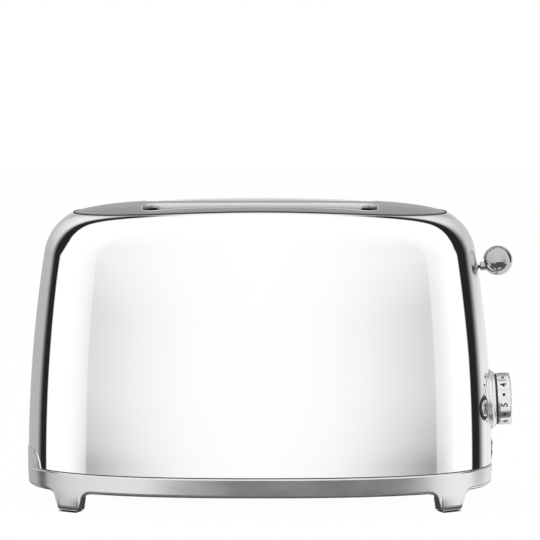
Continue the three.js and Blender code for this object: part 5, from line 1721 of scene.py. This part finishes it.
# %% Ribs pressed into its floor
rib_section = [(-2.4, 0.0), (-1.6, 0.12), (-0.8, 0.42), (0, 0.55), (0.8, 0.42), (1.6, 0.12),
               (2.4, 0.0), (2.4, -0.3), (-2.4, -0.3)]
rib_floor = floor_z + TRAY_SHEET
rib_rings = []
for y in (-30, -29, -27, -14, 0, 14, 27, 29, 30):
    rise = {30: 0.25, 29: 0.75}.get(abs(y), 1.0)
    rib_rings.append([(x * rise * MM, y * MM, rib_floor + max(z * rise, -0.3) * MM)
                      for x, z in rib_section])
tray_rib = outward(stacked("tray rib", rib_rings, caps=(True, True)))
tray_ribs = row("tray_ribs", tray_rib, 9, (BODY_X - 112 * MM, 0, 0), (22 * MM, 0, 0), pan_sheet)
dress(tray_ribs, "tray_body", "brushed", pan_sheet)
print("the pan has 9 pressed ribs")

# %% [markdown]
# ## Inside the toaster
# What shows through the slots: wire guides that close on the bread, mica cards wound with heater
# ribbon, and the rests that carry the slices. The ribbon is one unbroken strip from the foot of
# its card to the top. Wires and ribbons are sections carried along a path.

# %% A round wire along a path
TIP_WIDTH, TIP_LENGTH = 0.72, 0.28


def way_at(path, i):
    """The way a path runs at one of its points."""
    return path[min(i + 1, len(path) - 1)] - path[max(i - 1, 0)]


def wire(name, path, radius, steps=10):
    path = [Vector(spot) for spot in path]
    rings = []
    side_way = way_at(path, 0).normalized().orthogonal().normalized()
    for i, spot in enumerate(path):
        forward = way_at(path, i).normalized()
        side_way = (side_way - forward * side_way.dot(forward)).normalized()
        other = forward.cross(side_way)
        rings.append([spot + (side_way * math.cos(angle) + other * math.sin(angle)) * radius
                      for angle in np.linspace(0, 2 * math.pi, steps + 1)[:-1]])
    for end, inner_spot in ((0, 1), (-1, -2)):
        way = (path[end] - path[inner_spot]).normalized()
        tip = [path[end] + (spot - path[end]) * TIP_WIDTH + way * radius * TIP_LENGTH
               for spot in rings[end]]
        rings = [tip, *rings] if end == 0 else [*rings, tip]
    return outward(stacked(name, rings, caps=(True, True), smooth_angle=50))


def along(*corners, spacing=6 * MM):
    spots = []
    for start, end in zip(corners, corners[1:]):
        start, end = Vector(start), Vector(end)
        count = max(1, round((end - start).length / spacing))
        spots += [start.lerp(end, i / count) for i in range(count)]
    return spots + [Vector(corners[-1])]


print("wires are ready")

# %% The four bread guides
PLACES = ("front_outer", "front_inner", "rear_inner", "rear_outer")
GUIDE_WIRES, GUIDE_PITCH = 6, 28 * MM
BAR_RADIUS, WIRE_RADIUS = 1.05 * MM, 0.85 * MM
for name in PLACES:
    node = "bread_guide_" + name
    low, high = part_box(node)
    y = (low.y + high.y) / 2
    bars = [wire("bar", along((low.x, y, z), (high.x, y, z), spacing=12 * MM), BAR_RADIUS, 14)
            for z in (166 * MM, 76 * MM)]
    first_x = (low.x + high.x) / 2 - (GUIDE_WIRES - 1) / 2 * GUIDE_PITCH
    end = WIRE_RADIUS * 0.6
    path = along((0, 0, low.z + end), (0, 0, high.z - end), spacing=12 * MM)
    upright_wire = wire("upright", path, WIRE_RADIUS, 12)
    start, step = (first_x, y, 0), (GUIDE_PITCH, 0, 0)
    uprights = row("uprights", upright_wire, GUIDE_WIRES, start, step, zinc)
    dress(join_meshes("guide_" + name, [*bars, uprights], 50), node + "_body", "steel", zinc, node)
print(f"4 guides of {GUIDE_WIRES} uprights")

# %% The mica cards with their rivets
RIVET_PITCH = 32 * MM
rivet_profile = [(-0.75, 0), (-0.75, 1.0), (-0.55, 1.5), (-0.4, 1.6), (-0.4, 0.9), (0.4, 0.9),
                 (0.4, 1.6), (0.55, 1.5), (0.75, 1.0), (0.75, 0)]
across_card = Matrix(((0, 1, 0, 0), (1, 0, 0, 0), (0, 0, 1, 0), (0, 0, 0, 1)))
for name in PLACES:
    node = "heater_card_" + name
    fine(node, "housing", "mica", mica, 0.12 * MM, 1)
    low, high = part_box(node)
    rivets = []
    for z in (low.z + 3 * MM, high.z - 3 * MM):
        rivet = turned("rivet", in_mm(rivet_profile), across_card, 20)
        start = (BODY_X - 2 * RIVET_PITCH, (low.y + high.y) / 2, z)
        rivets.append(row("rivets", rivet, 5, start, (RIVET_PITCH, 0, 0), copper))
    dress(join_meshes("rivets_" + name, rivets), "housing", "copper", copper)
print("4 cards with 10 rivets each")

# %% The ribbon: wide along Z, thin across, wound in one unbroken strip
RIBBON_HALF, RIBBON_THIN = 0.7 * MM, 0.11 * MM
TURNS = 18


def ribbon(name, path):
    rings = []
    for i, spot in enumerate(path):
        forward = way_at(path, i)
        across_way = Vector((forward.y, -forward.x, 0)).normalized()
        rings.append([spot + across_way * (a * RIBBON_THIN) + Vector((0, 0, b * RIBBON_HALF))
                      for a, b in ((-1, -1), (1, -1), (1, 1), (-1, 1))])
    return outward(stacked(name, rings, caps=(True, True), smooth_angle=30))


for name in PLACES:
    node = "heater_wire_" + name
    low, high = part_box(node)
    middle = Vector(((low.x + high.x) / 2, (low.y + high.y) / 2, 0))
    off = (high.y - low.y) / 2 - 2 * RIBBON_THIN
    straight = (high.x - low.x) / 2 - RIBBON_THIN - off
    bottom, top = low.z + RIBBON_HALF, high.z - RIBBON_HALF
    bend = np.linspace(0, math.pi, 7)[1:-1]
    loop = [(x, -off) for x in np.linspace(-straight, straight, 9)]
    loop += [(straight + off * math.sin(angle), -off * math.cos(angle)) for angle in bend]
    loop += [(x, off) for x in np.linspace(straight, -straight, 9)]
    loop += [(-straight - off * math.sin(angle), off * math.cos(angle)) for angle in bend]
    lengths = lengths_along(np.array(loop + loop[:1]))
    path = []
    for turn in range(TURNS):
        for (x, y), length in zip(loop, lengths):
            share = (turn + length / lengths[-1]) / TURNS
            path.append(middle + Vector((x, y, bottom + (top - bottom) * share)))
    dress(ribbon("ribbon_" + name, path), "housing", "heater", ribbon_grey, node)
print(f"4 ribbons of {TURNS} turns, {len(path)} points each")

# %% The rests, the carriage and its rods
ROD_RADIUS = 2.45 * MM
rod_inset = 2.5 * MM / math.cos(lean)
for side in ("front", "rear"):
    fine("bread_rest_" + side, "carriage_body", "steel", zinc, 0.25 * MM)
    node = "guide_rod_" + side
    low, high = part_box(node)
    y = (low.y + high.y) / 2
    top = Vector((low.x + rod_inset, y, high.z - 0.5 * MM))
    foot = Vector((high.x - rod_inset, y, low.z + 0.5 * MM))
    rod = wire("rod_" + side, along(foot, top, spacing=16 * MM), ROD_RADIUS, 28)
    dress(rod, "housing", "chrome", small_chrome, node)
carriage = fine("carriage", "carriage_body", "steel", zinc, 0.3 * MM)
armature = bar_block("armature_plate", *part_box("armature"), 0.4 * MM, 3)
dress(armature, "carriage_body", "steel", zinc, "armature")
print("the carriage has", len(carriage.data.polygons), "faces")

# %% The end plates, and reflectors with pressed ribs
for node in ("end_plate_lever_side", "end_plate_tray_side"):
    fine(node, "housing", "steel", zinc, 0.25 * MM)
mirror_sheet = brushed_finish("bright reflector", (0.8, 0.8, 0.8), "X", 0.25)
press_section = [(-1.8, 0.05), (-1.2, -0.25), (0, -0.5), (1.2, -0.25), (1.8, 0.05)]
for side, sign in (("front", -1), ("rear", 1)):
    node = "heat_reflector_" + side
    fine(node, "housing", "brushed", mirror_sheet)
    low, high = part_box(node)
    face_y = (low.y if sign < 0 else high.y) - sign * 0.8 * MM
    rings = []
    for z, rise in ((82, 0.2), (84, 0.8), (88, 1.0), (150, 1.0), (154, 0.8), (156, 0.2)):
        rings.append([(x * MM, face_y + sign * (depth * rise) * MM, z * MM)
                      for x, depth in press_section])
    press = outward(stacked("press", rings, caps=(True, True)))
    start, step = (BODY_X - 72 * MM, 0, 0), (24 * MM, 0, 0)
    presses = row("reflector_ribs_" + side, press, 7, start, step, mirror_sheet)
    dress(presses, "housing", "brushed", mirror_sheet)
print("2 reflectors with 7 pressed ribs each")

# %% [markdown]
# ## Under the lever
# The return spring is wound from round wire, with a hook at each end. It stretches as the carriage
# goes down. Beside it are the magnet that holds the carriage down, the mains contacts, and the
# board that the controls work.

# %% The spring
spring_low, spring_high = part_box("return_spring")
SPRING_X, SPRING_Y = (spring_low.x + spring_high.x) / 2, (spring_low.y + spring_high.y) / 2
SPRING_RADIUS, SPRING_WIRE, CURLS = 2.9 * MM, 0.42 * MM, 9
HOOK_ROOM = 1.9 * MM
bottom, top = spring_low.z + HOOK_ROOM, spring_high.z - HOOK_ROOM
coil = []
for turn in np.linspace(0, CURLS, CURLS * 24 + 1):
    angle = 2 * math.pi * turn
    coil.append(Vector((SPRING_X + SPRING_RADIUS * math.cos(angle),
                        SPRING_Y + SPRING_RADIUS * math.sin(angle),
                        bottom + (top - bottom) * turn / CURLS)))


def hook(end_z, way):
    start_x = SPRING_X + SPRING_RADIUS
    inward = [(start_x - 0.5 * MM, 0.35), (start_x - 1.5 * MM, 0.62), (SPRING_X + 0.6 * MM, 0.75),
              (SPRING_X, 1.0), (SPRING_X - 0.35 * MM, 1.3), (SPRING_X - 0.1 * MM, 1.45)]
    return [Vector((x, SPRING_Y, end_z + way * share * MM)) for x, share in inward]


spring = wire("wound_spring", hook(bottom, -1)[::-1] + coil + hook(top, 1), SPRING_WIRE)
spring.data.materials.append(small_chrome)
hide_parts("return_spring")
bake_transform(spring)
print(f"the spring has {CURLS} curls")

# %% The magnet: a laminated core, and one layer of wire wound on a bobbin
fine("magnet_core", "housing", "steel", zinc, 0.25 * MM)
WIRE, WRAPS = 0.3 * MM, 19
CORE_HALF_X, CORE_HALF_Y, FLANGE_SHEET = 5.2 * MM, 2.7 * MM, 0.65 * MM
coil_low, coil_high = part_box("magnet_coil")
centre, reach = (coil_low + coil_high) / 2, (coil_high - coil_low) / 2


def coil_ring(half_x, half_y, radius):
    x, y = centre.x, centre.y
    return rounded(x - half_x, x + half_x, y - half_y, y + half_y, radius, 5)


def sleeve_part(outer_ring, low_z, high_z):
    """A closed wall between an outer ring and the ring round the core."""
    inner_ring = coil_ring(CORE_HALF_X, CORE_HALF_Y, 0.3 * MM)
    rings = [[(x, y, z) for x, y in ring] for ring, z in (
        (outer_ring, low_z), (outer_ring, high_z), (inner_ring, high_z), (inner_ring, low_z))]
    return outward(stacked("sleeve", rings, loop=True))


wrap_ring = coil_ring(reach.x - WIRE, reach.y - WIRE, 2.2 * MM)
low_z, high_z = coil_low.z + 1.0 * MM, coil_high.z - 1.0 * MM
wrap = []
for turn in range(WRAPS):
    for i, (x, y) in enumerate(wrap_ring):
        share = (turn + i / len(wrap_ring)) / WRAPS
        wrap.append((x, y, low_z + (high_z - low_z) * share))
dress(wire("coil_winding", wrap, WIRE, 8), "housing", "copper", copper, "magnet_coil")
flange_ring = coil_ring(reach.x, reach.y, 1.5 * MM)
bobbin_ring = coil_ring(reach.x - 2 * WIRE, reach.y - 2 * WIRE, 2 * MM)
sleeves = [sleeve_part(flange_ring, coil_low.z, coil_low.z + FLANGE_SHEET),
           sleeve_part(flange_ring, coil_high.z - FLANGE_SHEET, coil_high.z),
           sleeve_part(bobbin_ring, coil_low.z + 0.7 * MM, coil_high.z - 0.7 * MM)]
dress(join_meshes("coil_bobbin", sleeves), "housing", "black", black_plastic)
print(f"{WRAPS} wraps of wire")

# %% The contact block with its blades, the timer and the dial's shaft
fine("mains_contact_block", "housing", "black", black_plastic, 0.6 * MM, 3)
block_low, block_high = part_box("mains_contact_block")
blade_near, blade_far = block_high.x - 0.2 * MM, block_high.x + 2.2 * MM
blade_low, blade_high = (blade_near, -0.4 * MM, -5 * MM), (blade_far, 0.4 * MM, 5 * MM)
blade = bar_block("blade", blade_low, blade_high, 0.2 * MM)
start = (0, block_low.y + 3 * MM, (block_low.z + block_high.z) / 2)
dress(row("contact_blades", blade, 3, start, (0, 4 * MM, 0), copper), "housing", "copper", copper)
fine("timer_control", "housing", "black", black_plastic, 0.5 * MM)
fine("dial_shaft", "dial_body", "steel", zinc)
print("3 contact blades")

# %% The board and its parts
fine("control_board", "housing", "board", board_green, 0.15 * MM, 1)
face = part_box("control_board")[0].x
near, leg = face - 0.1 * MM, face - 1.4 * MM
chip = bar_block("chip", (face - 2.2 * MM, -4.5 * MM, -3 * MM), (near, 4.5 * MM, 3 * MM), 0.25 * MM)
chips = row("chips", chip, 2, (0, -20 * MM, 45 * MM), (0, 40 * MM, 12 * MM), black_plastic)
resistor_path = along((leg, 0, -3 * MM), (leg, 0, 3 * MM), spacing=1.5 * MM)
resistor = wire("resistor", resistor_path, 1.1 * MM, 14)
resistors = row("resistors", resistor, 6, (0, -28 * MM, 28 * MM), (0, 11 * MM, 0), cream)
dress(chips, "housing", "black", black_plastic)
dress(resistors, "housing", "board", cream)
relay_low, relay_high = (face - 12 * MM, 22 * MM, 62 * MM), (near, 36 * MM, 80 * MM)
relay = bar_block("board_relay", relay_low, relay_high, 0.5 * MM, 3)
dress(relay, "housing", "black", black_plastic)
print("the board carries 2 chips, 6 resistors and a relay")

# %% [markdown]
# ## Measuring up
# The fine pieces must fill the same space as the solids, so both boxes are printed.

# %% Print the sizes and finish
visual_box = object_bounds()
for name, corners in (("solids", cad_box), ("fine pieces", visual_box)):
    print(name, [[round(value / MM, 2) for value in corner] for corner in corners])
